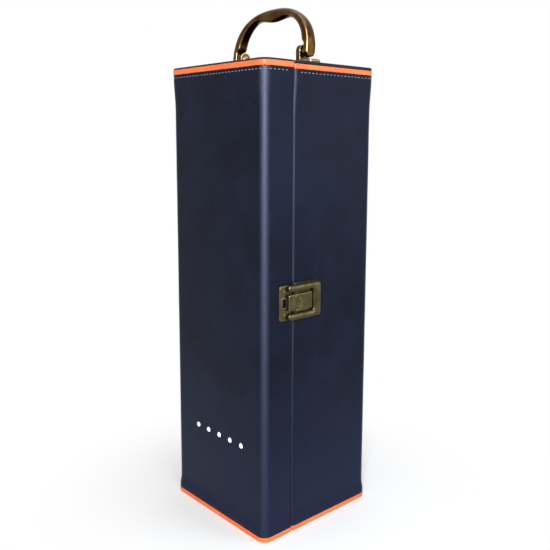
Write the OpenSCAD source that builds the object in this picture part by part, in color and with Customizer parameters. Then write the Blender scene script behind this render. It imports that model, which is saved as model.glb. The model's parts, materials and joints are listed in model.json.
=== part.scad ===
// Upright box for one wine bottle: wrapped boards, a full-height door, a draw latch and a bail handle.
// Millimetres. +Z is up, the origin is at the middle of the base, the door faces -Y,
// the latch is on +X and the hinges are on -X.

/* [Box] */
// Width of the box over the leather hems
box_w = 110; // [104:1:132]
// Depth of the box over the leather hems, door shut
box_d = 110; // [104:1:132]
// Height of the box without its handle
box_h = 340; // [330:1:410]
// Depth of the door, from the front to the middle of the seam
door_d = 27.5; // [24:0.5:33]
// Gap between the door and the case at the seam
seam_gap = 0.4; // [0.3:0.1:0.8]
// Radius of the box's outer upright corners
corner_r = 7; // [5:0.5:8]
// Radius of the case's upright edges at the seam
case_seam_r = 2; // [1.4:0.1:3]
// Radius of the door's upright edges at the seam
door_seam_r = 1.4; // [1.3:0.1:2.5]

/* [Walls] */
// Thickness of the boards
board_t = 6; // [5:0.5:8]
// Thickness of the leather on the boards
leather_t = 1.2; // [0.8:0.1:1.2]
// How far the turned hems stand out past the plain leather
hem_t = 1; // [0.4:0.1:1.2]
// Height of the flat part of a hem
hem_h = 4; // [2:0.5:8]
// Height over which a hem fades into the plain leather
hem_fade = 13; // [6:1:20]
// Thickness of the flocked lining
lining_t = 1; // [0.6:0.1:1.5]

/* [Bands and caps] */
// How far the coloured bands stand out past the hems
band_proud = 0.2; // [0:0.1:0.6]
// Rounding of a band's outer edges
band_edge = 0.5; // [0.2:0.1:0.8]
// Height of the band at the foot
foot_band_h = 3.5; // [3:0.1:5]
// Height of the band at the top of the case
case_band_h = 3.4; // [3:0.1:5]
// Height of the band at the top of the door
door_band_h = 3.7; // [3:0.1:5]
// Thickness of the leather cap on the case
case_cap_t = 2.3; // [1.6:0.1:3]
// Thickness of the leather cap on the door
door_cap_t = 1.3; // [1.2:0.1:2]
// Rounding of the caps' top edges
cap_edge = 1.1; // [0.4:0.1:1.1]
// Thickness of the cover under the bottom boards
base_cap_t = 2; // [1:0.1:3]

/* [Bottle] */
// Diameter of the largest bottle that the cradles take
bottle_d = 76; // [70:1:78]
// Diameter of the bottle's neck
neck_d = 32; // [29:1:38]
// Play around the bottle and its neck
bottle_play = 1; // [0.5:0.5:2]
// Height of the middle of the lower cradle
bottle_cradle_z = 70; // [50:5:110]
// Height of the middle of the neck cradle
neck_cradle_z = 258; // [240:2:280]
// Thickness of the cradles
cradle_t = 18; // [12:1:24]
// How far the cradles' arms reach past the bottle's middle
cradle_reach = 3; // [0:1:8]
// Rounding of the cradles' front corners
cradle_r = 3; // [1:0.5:3.5]

/* [Handle] */
// Half of the handle's outer width
handle_hw = 42.6; // [40:0.2:46]
// Height of the handle's outer arch over its pivots
arch_h = 34.3; // [28:0.1:45]
// Fullness of the arch's shoulders, where 2 is an ellipse
arch_power = 2.32; // [2:0.01:3]
// Thickness of the handle's legs
leg_t = 5.2; // [4.5:0.1:6]
// Width of the handle's legs
leg_w = 9.4; // [8:0.1:10]
// Width of the grip
grip_w = 7; // [5:0.2:10]
// Depth of the finger swell under the grip
swell = 4.7; // [0:0.1:6]
// Half of the finger swell's length
swell_hl = 25; // [16:1:28]
// Height of the handle's pivots over the top of the box
pivot_h = 9.5; // [9:0.1:14]
// Lean of the handle towards the back, in degrees
handle_lean = 5.7; // [0:0.1:12]
// How far a round end stands out past the leg's faces
lug_proud = 0.1; // [0.1:0.1:0.6]
// Radius of the handle's pins
handle_pin_r = 1.5; // [1.2:0.1:1.8]
// Width of the gap between an ear and a leg
ear_gap = 2; // [1:0.1:3]
// Thickness of a bracket's ear
ear_t = 4.2; // [3:0.1:5]
// Radius of an ear's round top
ear_r = 4.7; // [4:0.1:5.2]
// Thickness of a bracket's foot
foot_t = 3.4; // [2:0.1:3.6]
// Width of a bracket's foot
foot_w = 11.2; // [10.6:0.2:14]
// How far a bracket's foot reaches out past the leg
foot_past = 4.8; // [2:0.2:6]
// How far a bracket's foot reaches in past its ear
foot_lip = 1; // [0.6:0.2:2]
// Distance between the two screws of a bracket
foot_screw_gap = 5.2; // [4.8:0.2:5.4]
// Radius of the collar on a handle pin, between the ear and the leg
collar_r = 2.8; // [2:0.1:3]

/* [Latch] */
// Height of the latch's middle on the box
latch_z = 173.7; // [120:0.1:240]
// Height of the latch's frame
latch_h = 25.6; // [23:0.2:30]
// Thickness of the plates of the lever, the hook and the frame
plate_t = 0.9; // [0.8:0.1:1.1]
// How far the frame stands out from the leather
frame_out = 4.6; // [4.4:0.1:6]
// How far the frame reaches over the door
frame_over = 6.9; // [5.4:0.1:7.4]
// Length of the frame on the case
frame_len = 24.8; // [24:0.2:34]
// Corner radius of the frame
frame_r = 3; // [2.6:0.1:4]
// Rounding of the frame's outer edges
frame_edge = 1.9; // [1:0.1:2.2]
// Height of the frame's recess
recess_h = 15.4; // [14:0.2:16]
// Distance from the seam to the recess's closed end
recess_end = 17.2; // [16:0.1:19]
// Gap between the frame and the strike plate under it
frame_gap = 0.4; // [0.3:0.1:0.6]
// Distance from the seam to the lever's pivot
lever_pivot_y = 0.6; // [0:0.1:1]
// Distance from the seam to the hook's pivot
hook_pivot_y = 4.4; // [4.2:0.1:5.5]
// Distance from the leather to the hook's pivot
hook_pivot_x = 3; // [2.8:0.1:3.2]
// How much further out the lever's pivot is, so that the latch snaps past its middle
over_centre = 0.1; // [0:0.05:0.3]
// Height of the lever
lever_h = 11.6; // [11:0.2:12.4]
// Thickness of the lever's arms
arm_t = 0.7; // [0.6:0.1:0.9]
// Half of the width of the lever's arms
arm_r = 0.75; // [0.7:0.05:0.85]
// Radius of the knuckles between the lever and the hook
knuckle_r = 0.75; // [0.7:0.05:0.85]
// Height of the hook's head, beside the lever's arms
hook_h = 11.3; // [10:0.1:12]
// Height of the hook's knuckle
hook_knuckle_h = 5.2; // [4:0.2:6]
// How far the hook's lip hangs under its plate
lip_drop = 0.45; // [0.2:0.05:0.6]
// Gap between the hook's lip and the top of the catch, so that each joint turns alone
lip_gap = 0.3; // [0.2:0.05:0.5]
// Thickness of the strike plate
strike_t = 1.2; // [1:0.1:1.3]
// Rounding of the strike plate's edges
strike_edge = 1; // [0.5:0.1:1.1]
// Length of the strike plate
strike_len = 11.8; // [11.4:0.1:14]
// Distance from the seam to the strike plate
strike_gap = 1.5; // [1:0.1:2]
// Height of the strike plate
strike_h = 25.4; // [23:0.1:28]
// Length and height of the strike's window
strike_window = [3.8, 6.2]; // [3:0.2:7]
// The strike plate's nails, by distance from the seam and height over the latch's middle
strike_nail_at = [[-8.4, 8], [-8.4, -8.6]];
// Distance between the two nails under the lever
frame_nail_gap = 7.2; // [5:0.2:9]
// Rounding of the edges of the lever and the hook
tab_edge = 0.35; // [0.2:0.05:0.4]
// Corner radius of the lever and the hook
tab_r = 0.8; // [0.5:0.1:1.2]
// Radius of the lever's pins
lever_pin_r = 0.45; // [0.4:0.05:0.5]
// Radius of the pin between the lever and the hook
hook_pin_r = 0.4; // [0.35:0.05:0.45]
// Radius of the small nails
nail_r = 0.6; // [0.5:0.05:0.7]
// Length of the small nails under the leather
nail_len = 5; // [4:0.5:5]

/* [Hinges] */
// Height of a hinge
hinge_h = 30; // [24:1:40]
// Distance from the foot of the box to the lower hinge, and from its top to the upper one
hinge_inset = 60; // [45:1:90]
// Thickness of a hinge leaf
leaf_t = 0.9; // [0.7:0.1:1.2]
// Width of a hinge leaf from its axis
leaf_w = 13; // [11:0.5:16]
// Distance from the leather to the hinge's axis
hinge_out = 2.2; // [2.1:0.1:3]
// Outer radius of the hinge's knuckles
hinge_r = 2.1; // [1.9:0.1:2.1]
// Radius of the hinge's pin
hinge_pin_r = 0.9; // [0.7:0.1:1.1]
// Distance from a hinge's axis to its screws
leaf_screw_x = 8; // [6.5:0.5:9]
// Distance between the two screws of a leaf
leaf_screw_gap = 18; // [12:1:22]

/* [Screws, studs and fits] */
// Radius of a wood screw
screw_r = 1; // [0.8:0.1:1.2]
// Radius of a screw's head
screw_head_r = 1.7; // [1.5:0.1:1.8]
// Length of a screw in its board
screw_len = 4.5; // [3:0.5:4.5]
// Radius of the studs on the door
stud_r = 2; // [1.5:0.1:3]
// Height of a stud's dome
stud_h = 1.1; // [0.6:0.1:1.5]
// Distance between the studs
stud_pitch = 13.2; // [10:0.2:15]
// Height of the row of studs
stud_z = 65.5; // [40:0.5:120]
// How far the row of studs lies off the door's middle
stud_off = 1.8; // [-6:0.2:6]
// Play between a pin and the hole that turns on it
run_fit = 0.05; // [0.03:0.01:0.08]
// Play between a pin, a nail or a screw and the hole that holds it
hold_fit = 0.02; // [0.01:0.01:0.04]

/* [Hidden] */

$fn = 48;
soft_fn = 24; // facets of the outlines that are joined by a hull
eps = 0.01; // thickness of a thin slice in a hull
through = 1; // how far a cut runs past the face that it opens

navy = [0.13, 0.15, 0.20];
orange = [0.95, 0.42, 0.20];
board = [0.76, 0.60, 0.42];
flock = [0.20, 0.17, 0.15];
bronze = [0.36, 0.27, 0.14];
brass = [0.42, 0.38, 0.24];
white = [0.92, 0.92, 0.94];

seam_y = -box_d / 2 + door_d;
case_y = seam_y + seam_gap / 2;
door_y = seam_y - seam_gap / 2;
skin_t = leather_t + hem_t;
face_x = box_w / 2 - hem_t;
wall_t = skin_t + board_t;
inner_hw = box_w / 2 - wall_t;
room_hw = inner_hw - lining_t;
pivot_z = box_h + pivot_h;
floor_z = base_cap_t + board_t;
case_roof_z = box_h - case_cap_t - board_t;
door_roof_z = box_h - door_cap_t - board_t;
hinge_zs = [hinge_inset, box_h - hinge_inset];
leaf_screw_ys = [-leaf_screw_gap / 2, leaf_screw_gap / 2];
stud_xs = [for (i = [-2:2]) stud_off + i * stud_pitch];

// ---------------------------------------------------------------- outlines

// Rectangle with one corner radius on its low-y side and another on its high-y side
module rounded_rect(x0, x1, y0, y1, r_low, r_high) {
    translate([x0, y0 + r_low]) square([x1 - x0, y1 - y0 - r_low - r_high]);
    translate([x0 + r_low, y0]) square([x1 - x0 - 2 * r_low, y1 - y0 - r_high]);
    translate([x0 + r_high, y0 + r_low]) square([x1 - x0 - 2 * r_high, y1 - y0 - r_low]);
    for (x = [x0 + r_low, x1 - r_low]) translate([x, y0 + r_low]) circle(r_low);
    for (x = [x0 + r_high, x1 - r_high]) translate([x, y1 - r_high]) circle(r_high);
}

// Plan of the case, set in from its outer faces and from its seam face
module case_plan(inset, seam_inset = 0) {
    hx = box_w / 2 - inset;
    rounded_rect(
        -hx, hx, case_y + seam_inset, box_d / 2 - inset,
        case_seam_r - seam_inset, corner_r - inset
    );
}

// Plan of the door, set in from its outer faces and from its seam face
module door_plan(inset, seam_inset = 0) {
    hx = box_w / 2 - inset;
    rounded_rect(
        -hx, hx, -box_d / 2 + inset, door_y - seam_inset,
        corner_r - inset, door_seam_r - seam_inset
    );
}

module plan(is_case, inset, seam_inset = 0) {
    if (is_case) case_plan(inset, seam_inset);
    else door_plan(inset, seam_inset);
}

module slice(z, h) {
    translate([0, 0, z]) linear_extrude(h) children();
}

// Plate on the XY plane with rounded corners and a rounded top edge
module soft_plate(x0, x1, y0, y1, t, r, edge, steps = 2) {
    hull() for (a = [0:90 / steps:90]) {
        in = edge * (1 - cos(a));
        slice(0, t - edge * (1 - sin(a)))
            rounded_rect(x0 + in, x1 - in, y0 + in, y1 - in, r - in, r - in, $fn = soft_fn);
    }
}

// ---------------------------------------------------------------- where the fittings sit

// On the latch side: x runs back from the seam, y up from the latch's middle, z out of the leather
module on_latch_side() {
    translate([face_x, seam_y, latch_z]) rotate([90, 0, 90]) children();
}

// On the hinge side: x runs back from the seam, y down from the hinge's middle, z out
module on_hinge_side(z) {
    translate([-face_x, seam_y, z]) rotate([-90, 0, 90]) children();
}

// Round bar along a fitting's upright axis, through [distance from the seam, distance out]
module upright_bar(at, y0, y1, r) {
    translate([at[0], y0, at[1]]) rotate([-90, 0, 0]) cylinder(r = r, h = y1 - y0);
}

// Countersunk wood screw with its head's top at z = 0
module wood_screw(len, play = 0) {
    head_h = screw_head_r - screw_r;
    translate([0, 0, -head_h]) cylinder(r1 = screw_r + play, r2 = screw_head_r + play, h = head_h);
    translate([0, 0, -len]) cylinder(r = screw_r + play, h = len);
}

// Nail with a domed head that rests at z = 0
module dome_nail(len, head_r, head_h) {
    ball_r = (head_r * head_r + head_h * head_h) / (2 * head_h);
    intersection() {
        translate([0, 0, head_h - ball_r]) sphere(ball_r);
        cylinder(r = head_r, h = head_h);
    }
    translate([0, 0, -len]) cylinder(r = nail_r, h = len);
}

// ---------------------------------------------------------------- screw, nail and stud places

module at_hinge_screws(side) {
    for (z = hinge_zs) on_hinge_side(z)
        for (y = leaf_screw_ys) translate([side * leaf_screw_x, y, leaf_t]) children();
}

// Within the latch: the nails of the strike plate
module strike_nail_places() {
    for (p = strike_nail_at) translate([p[0], p[1], strike_t]) children();
}

// Within the latch: the nails of the frame, under the lever
module frame_nail_places() {
    for (y = [-frame_nail_gap / 2, frame_nail_gap / 2])
        translate([(hook_pivot_y + recess_end) / 2, y, plate_t]) children();
}

module at_studs() {
    for (x = stud_xs) translate([x, -box_d / 2 + hem_t, stud_z]) rotate([90, 0, 0]) children();
}

module at_foot_screws() {
    for (s = [-1, 1], y = [-foot_screw_gap / 2, foot_screw_gap / 2])
        translate([s * (handle_hw + lug_proud - leg_t / 2), y, box_h + foot_t]) children();
}

module nail_hole(len) {
    translate([0, 0, -len]) cylinder(r = nail_r + hold_fit, h = len + through);
}

module screw_hole(len) {
    translate([0, 0, -len - through]) cylinder(r = screw_r + hold_fit, h = len + 2 * through);
}

// Everything that is driven into the case's leather and boards
module case_holes() {
    at_hinge_screws(1) screw_hole(leaf_t + leather_t + screw_len);
    on_latch_side() frame_nail_places() nail_hole(plate_t + nail_len);
    at_foot_screws() screw_hole(foot_t + case_cap_t + screw_len);
}

// Everything that is driven into the door's leather and boards
module door_holes() {
    at_hinge_screws(-1) screw_hole(leaf_t + leather_t + screw_len);
    on_latch_side() strike_nail_places() nail_hole(strike_t + nail_len);
    at_studs() nail_hole(nail_len);
}

// ---------------------------------------------------------------- boards

module flat_board(is_case, z) {
    slice(z, board_t) plan(is_case, skin_t, leather_t);
}

// One upright side board, between the seam and the back or front board
module side_board(is_case, side) {
    z1 = is_case ? case_roof_z : door_roof_z;
    far = box_d / 2 - wall_t;
    slice(floor_z, z1 - floor_z) intersection() {
        plan(is_case, skin_t, leather_t);
        translate([side > 0 ? inner_hw : -inner_hw - board_t, is_case ? case_y : -far])
            square([board_t, is_case ? far - case_y : far + door_y]);
    }
}

// The back board of the case or the front board of the door, with rounded upright edges
module broad_board(is_case) {
    z1 = is_case ? case_roof_z : door_roof_z;
    slice(floor_z, z1 - floor_z) intersection() {
        plan(is_case, skin_t, leather_t);
        translate([-box_w / 2, is_case ? box_d / 2 - wall_t : -box_d / 2 + skin_t])
            square([box_w, board_t]);
    }
}

module in_case() { color(board) difference() { children(); case_holes(); } }
module in_door() { color(board) difference() { children(); door_holes(); } }

module case_back_board() { color(board) broad_board(true); }
module case_latch_side_board() { in_case() side_board(true, 1); }
module case_hinge_side_board() { in_case() side_board(true, -1); }
module case_top_board() { in_case() flat_board(true, case_roof_z); }
module case_bottom_board() { color(board) flat_board(true, base_cap_t); }
module door_front_board() { in_door() broad_board(false); }
module door_latch_side_board() { in_door() side_board(false, 1); }
module door_hinge_side_board() { in_door() side_board(false, -1); }
module door_top_board() { color(board) flat_board(false, door_roof_z); }
module door_bottom_board() { color(board) flat_board(false, base_cap_t); }

// ---------------------------------------------------------------- leather, bands, caps, lining

// Leather round the boards, thicker at its hems, turned in over the edges at the seam
module leather_wrap(is_case) {
    z0 = foot_band_h;
    z1 = box_h - (is_case ? case_cap_t + case_band_h : door_cap_t + door_band_h);
    roof = is_case ? case_roof_z : door_roof_z;
    difference() {
        union() {
            slice(z0 + hem_h, z1 - z0 - 2 * hem_h) plan(is_case, hem_t);
            hull() {
                slice(z0, hem_h) plan(is_case, 0, $fn = soft_fn);
                slice(z0 + hem_h + hem_fade, eps) plan(is_case, hem_t, $fn = soft_fn);
            }
            hull() {
                slice(z1 - hem_h, hem_h) plan(is_case, 0, $fn = soft_fn);
                slice(z1 - hem_h - hem_fade, eps) plan(is_case, hem_t, $fn = soft_fn);
            }
        }
        slice(-through, box_h) plan(is_case, skin_t, leather_t);
        translate([-inner_hw, seam_y - (is_case ? board_t : 2 * board_t), floor_z])
            cube([2 * inner_hw, 3 * board_t, roof - floor_z]);
    }
}

// Coloured band round the edge of a top or a foot
module band(is_case, z, h) {
    difference() {
        hull() {
            slice(z, h) plan(is_case, band_edge - band_proud, $fn = soft_fn);
            slice(z + band_edge, h - 2 * band_edge) plan(is_case, -band_proud, $fn = soft_fn);
        }
        slice(z - through, h + 2 * through) plan(is_case, skin_t, leather_t);
    }
}

// Leather cap over a top board, with a rounded top edge
module top_cap(is_case, t) {
    translate([0, 0, box_h - t]) hull() for (a = [0:30:90]) {
        in = cap_edge * (1 - cos(a));
        slice(0, t - cap_edge * (1 - sin(a))) plan(is_case, in, in, $fn = soft_fn);
    }
}

// Flocked lining, a tray with its open side at the seam
module lining(is_case) {
    roof = is_case ? case_roof_z : door_roof_z;
    far = box_d / 2 - wall_t;
    y0 = is_case ? case_y : -far;
    y1 = is_case ? far : door_y;
    difference() {
        translate([-inner_hw, y0, floor_z]) cube([2 * inner_hw, y1 - y0, roof - floor_z]);
        translate([-room_hw, is_case ? y0 - lining_t : y0 + lining_t, floor_z + lining_t])
            cube([2 * room_hw, y1 - y0, roof - floor_z - 2 * lining_t]);
    }
}

module case_leather_wrap() { color(navy) difference() { leather_wrap(true); case_holes(); } }
module case_top_cap() { color(navy) difference() { top_cap(true, case_cap_t); case_holes(); } }
module case_base_cap() { color(navy) slice(0, base_cap_t) case_plan(skin_t, leather_t); }
module case_top_band() { color(orange) band(true, box_h - case_cap_t - case_band_h, case_band_h); }
module case_foot_band() { color(orange) band(true, 0, foot_band_h); }
module case_lining() { color(flock) lining(true); }
module door_leather_wrap() { color(navy) difference() { leather_wrap(false); door_holes(); } }
module door_top_cap() { color(navy) top_cap(false, door_cap_t); }
module door_base_cap() { color(navy) slice(0, base_cap_t) door_plan(skin_t, leather_t); }
module door_top_band() { color(orange) band(false, box_h - door_cap_t - door_band_h, door_band_h); }
module door_foot_band() { color(orange) band(false, 0, foot_band_h); }
module door_lining() { color(flock) lining(false); }
module door_studs() { color(white) at_studs() dome_nail(nail_len, stud_r, stud_h); }

// ---------------------------------------------------------------- bottle cradles

// Block across the case with a half-round seat, centred on the box's axis
module cradle(z, seat_r) {
    front = -cradle_reach;
    slice(z - cradle_t / 2, cradle_t) difference() {
        rounded_rect(-room_hw, room_hw, front, box_d / 2 - wall_t - lining_t, cradle_r, 0);
        circle(seat_r);
        translate([-seat_r, front - through]) square([2 * seat_r, cradle_reach + through]);
    }
}

module bottle_cradle() { color(flock) cradle(bottle_cradle_z, bottle_d / 2 + bottle_play); }
module neck_cradle() { color(flock) cradle(neck_cradle_z, neck_d / 2 + bottle_play); }

// ---------------------------------------------------------------- handle

lug_x0 = handle_hw - leg_t - lug_proud;
lug_x1 = handle_hw + lug_proud;
ear_x1 = lug_x0 - ear_gap;
ear_x0 = ear_x1 - ear_t;
lug_r = leg_w / 2 + lug_proud;
lug_edge = 0.7; // rounding of a leg's round end
blind = 1; // leg left outside the end of its pin
foot_r = 3;
foot_edge = 1.3;

arch_step = 4; // angle between two rings of the arch
ring_sides = 20;
leg_power = 3; // squareness of the legs' section
grip_power = 2.1; // squareness of the grip's section

function signed_pow(v, p) = sign(v) * pow(abs(v), p);
function arch(a) = [
    handle_hw * signed_pow(cos(a), 2 / arch_power),
    arch_h * signed_pow(sin(a), 2 / arch_power)
];
function unit(v) = v / norm(v);
function along(a) = unit(arch(min(a + 1, 180)) - arch(max(a - 1, 0)));
function bell(x) = abs(x) < swell_hl ? pow(cos(90 * x / swell_hl), 2) : 0;
// 0 at the legs and 1 over the whole grip
function grip_share(a) = pow(sin(a), 2);
function mix(a, b, t) = a + (b - a) * t;

// One ring of the handle round its pivots: its outer edge follows the arch and its inner edge swells under the grip
function ring(a) =
    let (
        edge = arch(a),
        t = along(a),
        inward = [-t[1], t[0]],
        h = leg_t / 2 + swell / 2 * bell(edge[0]),
        w = mix(leg_w, grip_w, grip_share(a)) / 2,
        p = 2 / mix(leg_power, grip_power, grip_share(a)),
        mid = edge + inward * h
    )
    [for (k = [0:ring_sides - 1])
        let (
            b = 360 * k / ring_sides,
            q = mid - inward * h * signed_pow(cos(b), p)
        )
        [q[0], w * signed_pow(sin(b), p), q[1]]
    ];

// Skin over rings of points that follow each other along a path
module skin(rings) {
    n = len(rings[0]);
    last = len(rings) - 1;
    points = [for (r = rings, p = r) p];
    sides = [for (i = [0:last - 1], k = [0:n - 1], lower = [true, false])
        let (a = i * n + k, b = i * n + (k + 1) % n)
        lower ? [a, b + n, b] : [a, a + n, b + n]
    ];
    ends = [
        [for (k = [0:n - 1]) k],
        [for (k = [n - 1:-1:0]) last * n + k]
    ];
    polyhedron(points, concat(sides, ends));
}

// Disc on the XY plane with both of its rims rounded
module eased_disc(r, h, edge) {
    rotate_extrude() {
        square([r - edge, h]);
        translate([0, edge]) square([r, h - 2 * edge]);
        for (z = [edge, h - edge]) translate([r - edge, z]) circle(edge);
    }
}

// Handle, left leaning back on its pins
module handle() {
    color(bronze) translate([0, 0, pivot_z]) rotate([-handle_lean, 0, 0]) difference() {
        union() {
            skin([for (a = [0:arch_step:180]) ring(a)]);
            for (s = [0, 1]) mirror([s, 0, 0])
                translate([lug_x0, 0, 0]) rotate([0, 90, 0])
                    eased_disc(lug_r, lug_x1 - lug_x0, lug_edge);
        }
        for (s = [0, 1]) mirror([s, 0, 0])
            translate([lug_x0 - through, 0, 0]) rotate([0, 90, 0])
                cylinder(r = handle_pin_r + run_fit, h = through + lug_x1 - blind - lug_x0);
    }
}

// Bracket on the +X side: a foot that runs out under the leg and an ear inside the leg
module handle_bracket() {
    color(bronze) difference() {
        union() {
            translate([0, 0, box_h])
                soft_plate(
                    ear_x0 - foot_lip, lug_x1 + foot_past, -foot_w / 2, foot_w / 2, foot_t,
                    foot_r, foot_edge
                );
            translate([ear_x0, 0, pivot_z]) rotate([90, 0, 90]) linear_extrude(ear_t) {
                circle(ear_r);
                translate([-ear_r, foot_t / 2 - pivot_h]) square([2 * ear_r, pivot_h - foot_t / 2]);
            }
        }
        translate([ear_x0 - through, 0, pivot_z]) rotate([0, 90, 0])
            cylinder(r = handle_pin_r + hold_fit, h = ear_t + 2 * through);
        at_foot_screws() wood_screw(foot_t + through, hold_fit);
    }
}

module handle_bracket_right() { handle_bracket(); }
module handle_bracket_left() { mirror([1, 0, 0]) handle_bracket(); }

// Shouldered pins: a domed head inside the ear, a collar between the ear and the leg
module handle_pins() {
    head_h = 0.8;
    head_over = 1;
    side_play = 0.15;
    color(bronze) for (s = [0, 1]) mirror([s, 0, 0])
        translate([ear_x0, 0, pivot_z]) rotate([0, 90, 0]) {
            cylinder(r = handle_pin_r, h = lug_x1 - blind - ear_x0 - side_play);
            translate([0, 0, ear_t]) cylinder(r = collar_r, h = ear_gap - side_play);
            translate([0, 0, -head_h])
                cylinder(r1 = handle_pin_r, r2 = handle_pin_r + head_over, h = head_h);
        }
}

module handle_screws() { color(bronze) at_foot_screws() wood_screw(foot_t + case_cap_t + screw_len); }

// ---------------------------------------------------------------- hinges

knuckle_gap = 0.2;
knuckle_len = (hinge_h - 2 * knuckle_gap) / 3;
leaf_x0 = 0.4; // distance from the seam to a leaf
leaf_r = 0.35;
leaf_edge = 0.3;

// Leaf of a butt hinge; the case's leaf carries the outer knuckles and the door's the middle one
module hinge_leaf(z, is_case) {
    side = is_case ? 1 : -1;
    step = knuckle_len + knuckle_gap;
    knuckles = is_case ? [-1, 1] : [0];
    others = is_case ? [0] : [-1, 1];
    bore = hinge_pin_r + (is_case ? hold_fit : run_fit);
    color(bronze) on_hinge_side(z) difference() {
        union() {
            mirror([is_case ? 0 : 1, 0, 0])
                soft_plate(
                    leaf_x0, leaf_w, -hinge_h / 2, hinge_h / 2, leaf_t, leaf_r, leaf_edge
                );
            for (k = knuckles) {
                y0 = k * step - knuckle_len / 2;
                upright_bar([0, hinge_out], y0, y0 + knuckle_len, hinge_r);
                // the leaf rolls into its knuckle
                translate([side > 0 ? 0 : -hinge_r, y0, hinge_out - hinge_r])
                    cube([hinge_r, knuckle_len, hinge_r]);
            }
        }
        for (k = knuckles) {
            y0 = k * step - knuckle_len / 2;
            upright_bar([0, hinge_out], y0 - through, y0 + knuckle_len + through, bore);
        }
        for (k = others) {
            y0 = k * step - knuckle_len / 2 - knuckle_gap;
            upright_bar([0, hinge_out], y0, y0 + knuckle_len + 2 * knuckle_gap, hinge_r + knuckle_gap);
        }
        for (y = leaf_screw_ys) translate([side * leaf_screw_x, y, leaf_t])
            wood_screw(leaf_t + through, hold_fit);
    }
}

module upper_hinge_case_leaf() { hinge_leaf(hinge_zs[1], true); }
module lower_hinge_case_leaf() { hinge_leaf(hinge_zs[0], true); }
module upper_hinge_door_leaf() { hinge_leaf(hinge_zs[1], false); }
module lower_hinge_door_leaf() { hinge_leaf(hinge_zs[0], false); }

module hinge_pins() {
    color(bronze) for (z = hinge_zs) on_hinge_side(z)
        upright_bar([0, hinge_out], -hinge_h / 2, hinge_h / 2, hinge_pin_r);
}

module hinge_case_screws() {
    color(bronze) at_hinge_screws(1) wood_screw(leaf_t + leather_t + screw_len);
}

module hinge_door_screws() {
    color(bronze) at_hinge_screws(-1) wood_screw(leaf_t + leather_t + screw_len);
}

// ---------------------------------------------------------------- draw latch

hook_at = [hook_pivot_y, hook_pivot_x];
lever_at = [lever_pivot_y, hook_pivot_x + over_centre];
plate_low = hook_pivot_x - 0.35; // inner face of the lever's and the hook's plates
over_strike = strike_t + frame_gap; // inner face of the frame's ends over the strike plate
catch_top = plate_low - lip_drop - lip_gap;
mouth_gap = 0.3; // how far the hook stays back from the ends of the frame
lip_x0 = -frame_over + mouth_gap;
lip_t = 1;
lip_play = 0.4; // gap between the hook's lip and the catch
catch_x0 = lip_x0 + lip_t + lip_play;
catch_len = 2;
pin_seat = 2; // how far the lever's pins reach into the frame
recess_r = 1.4;
mouth_edge = 0.6; // easing of the recess's mouth
nail_head_r = 1.3;

// Frame on the case with a recess that is open towards the door
module latch_frame() {
    color(brass) on_latch_side() difference() {
        union() {
            translate([0, 0, over_strike])
                soft_plate(
                    -frame_over, frame_len, -latch_h / 2, latch_h / 2,
                    frame_out - over_strike, frame_r, frame_edge, 3
                );
            slice(0, over_strike) intersection() {
                rounded_rect(
                    -frame_len, frame_len, -latch_h / 2, latch_h / 2, frame_r, frame_r
                );
                translate([seam_gap, -latch_h]) square([frame_len, 2 * latch_h]);
            }
        }
        // the recess, with its mouth eased
        hull() {
            slice(plate_t, frame_out - plate_t - mouth_edge) recess_outline(0);
            slice(frame_out, eps) recess_outline(mouth_edge);
        }
        upright_bar(
            lever_at, -recess_h / 2 - pin_seat, recess_h / 2 + pin_seat, lever_pin_r + hold_fit
        );
        frame_nail_places() nail_hole(plate_t + through);
    }
}

module recess_outline(grow) {
    rounded_rect(
        -frame_over - frame_r, recess_end + grow, -recess_h / 2 - grow, recess_h / 2 + grow,
        recess_r, recess_r, $fn = soft_fn
    );
}

module latch_frame_nails() {
    color(brass) on_latch_side() frame_nail_places() dome_nail(plate_t + nail_len, nail_head_r, 0.5);
}

// Short pins between the frame and the lever's arms
module latch_lever_pins() {
    y0 = lever_h / 2 - arm_t;
    color(brass) on_latch_side() for (s = [0, 1]) mirror([0, s, 0])
        upright_bar(lever_at, y0, recess_h / 2 + pin_seat, lever_pin_r);
}

// Lever: a flat plate, two knuckles for the hook and two arms that reach to its pivot
module latch_lever() {
    free_gap = 1.2; // between the lever's free end and the recess
    free_x = recess_end - free_gap;
    knuckle_h = (lever_h - hook_knuckle_h) / 2 - knuckle_gap;
    color(brass) on_latch_side() difference() {
        union() {
            translate([0, 0, plate_low])
                soft_plate(hook_pivot_y, free_x, -lever_h / 2, lever_h / 2, plate_t, tab_r, tab_edge);
            for (s = [0, 1]) mirror([0, s, 0]) {
                upright_bar(hook_at, lever_h / 2 - knuckle_h, lever_h / 2, knuckle_r);
                upright_bar(lever_at, lever_h / 2 - arm_t, lever_h / 2, arm_r);
                translate([lever_pivot_y, lever_h / 2 - arm_t, lever_at[1] - arm_r])
                    cube([hook_pivot_y - lever_pivot_y, arm_t, 2 * arm_r - over_centre]);
            }
        }
        translate([0, -hook_knuckle_h / 2 - knuckle_gap, 0])
            cube([hook_pivot_y + knuckle_r + knuckle_gap, hook_knuckle_h + 2 * knuckle_gap, frame_out]);
        for (s = [0, 1]) mirror([0, s, 0]) {
            upright_bar(lever_at, lever_h / 2 - arm_t - through, lever_h / 2 + through,
                lever_pin_r + run_fit);
            upright_bar(hook_at, 0, lever_h / 2 + through, hook_pin_r + hold_fit);
        }
    }
}

module latch_hook_pin() {
    color(brass) on_latch_side() upright_bar(hook_at, -lever_h / 2, lever_h / 2, hook_pin_r);
}

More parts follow.
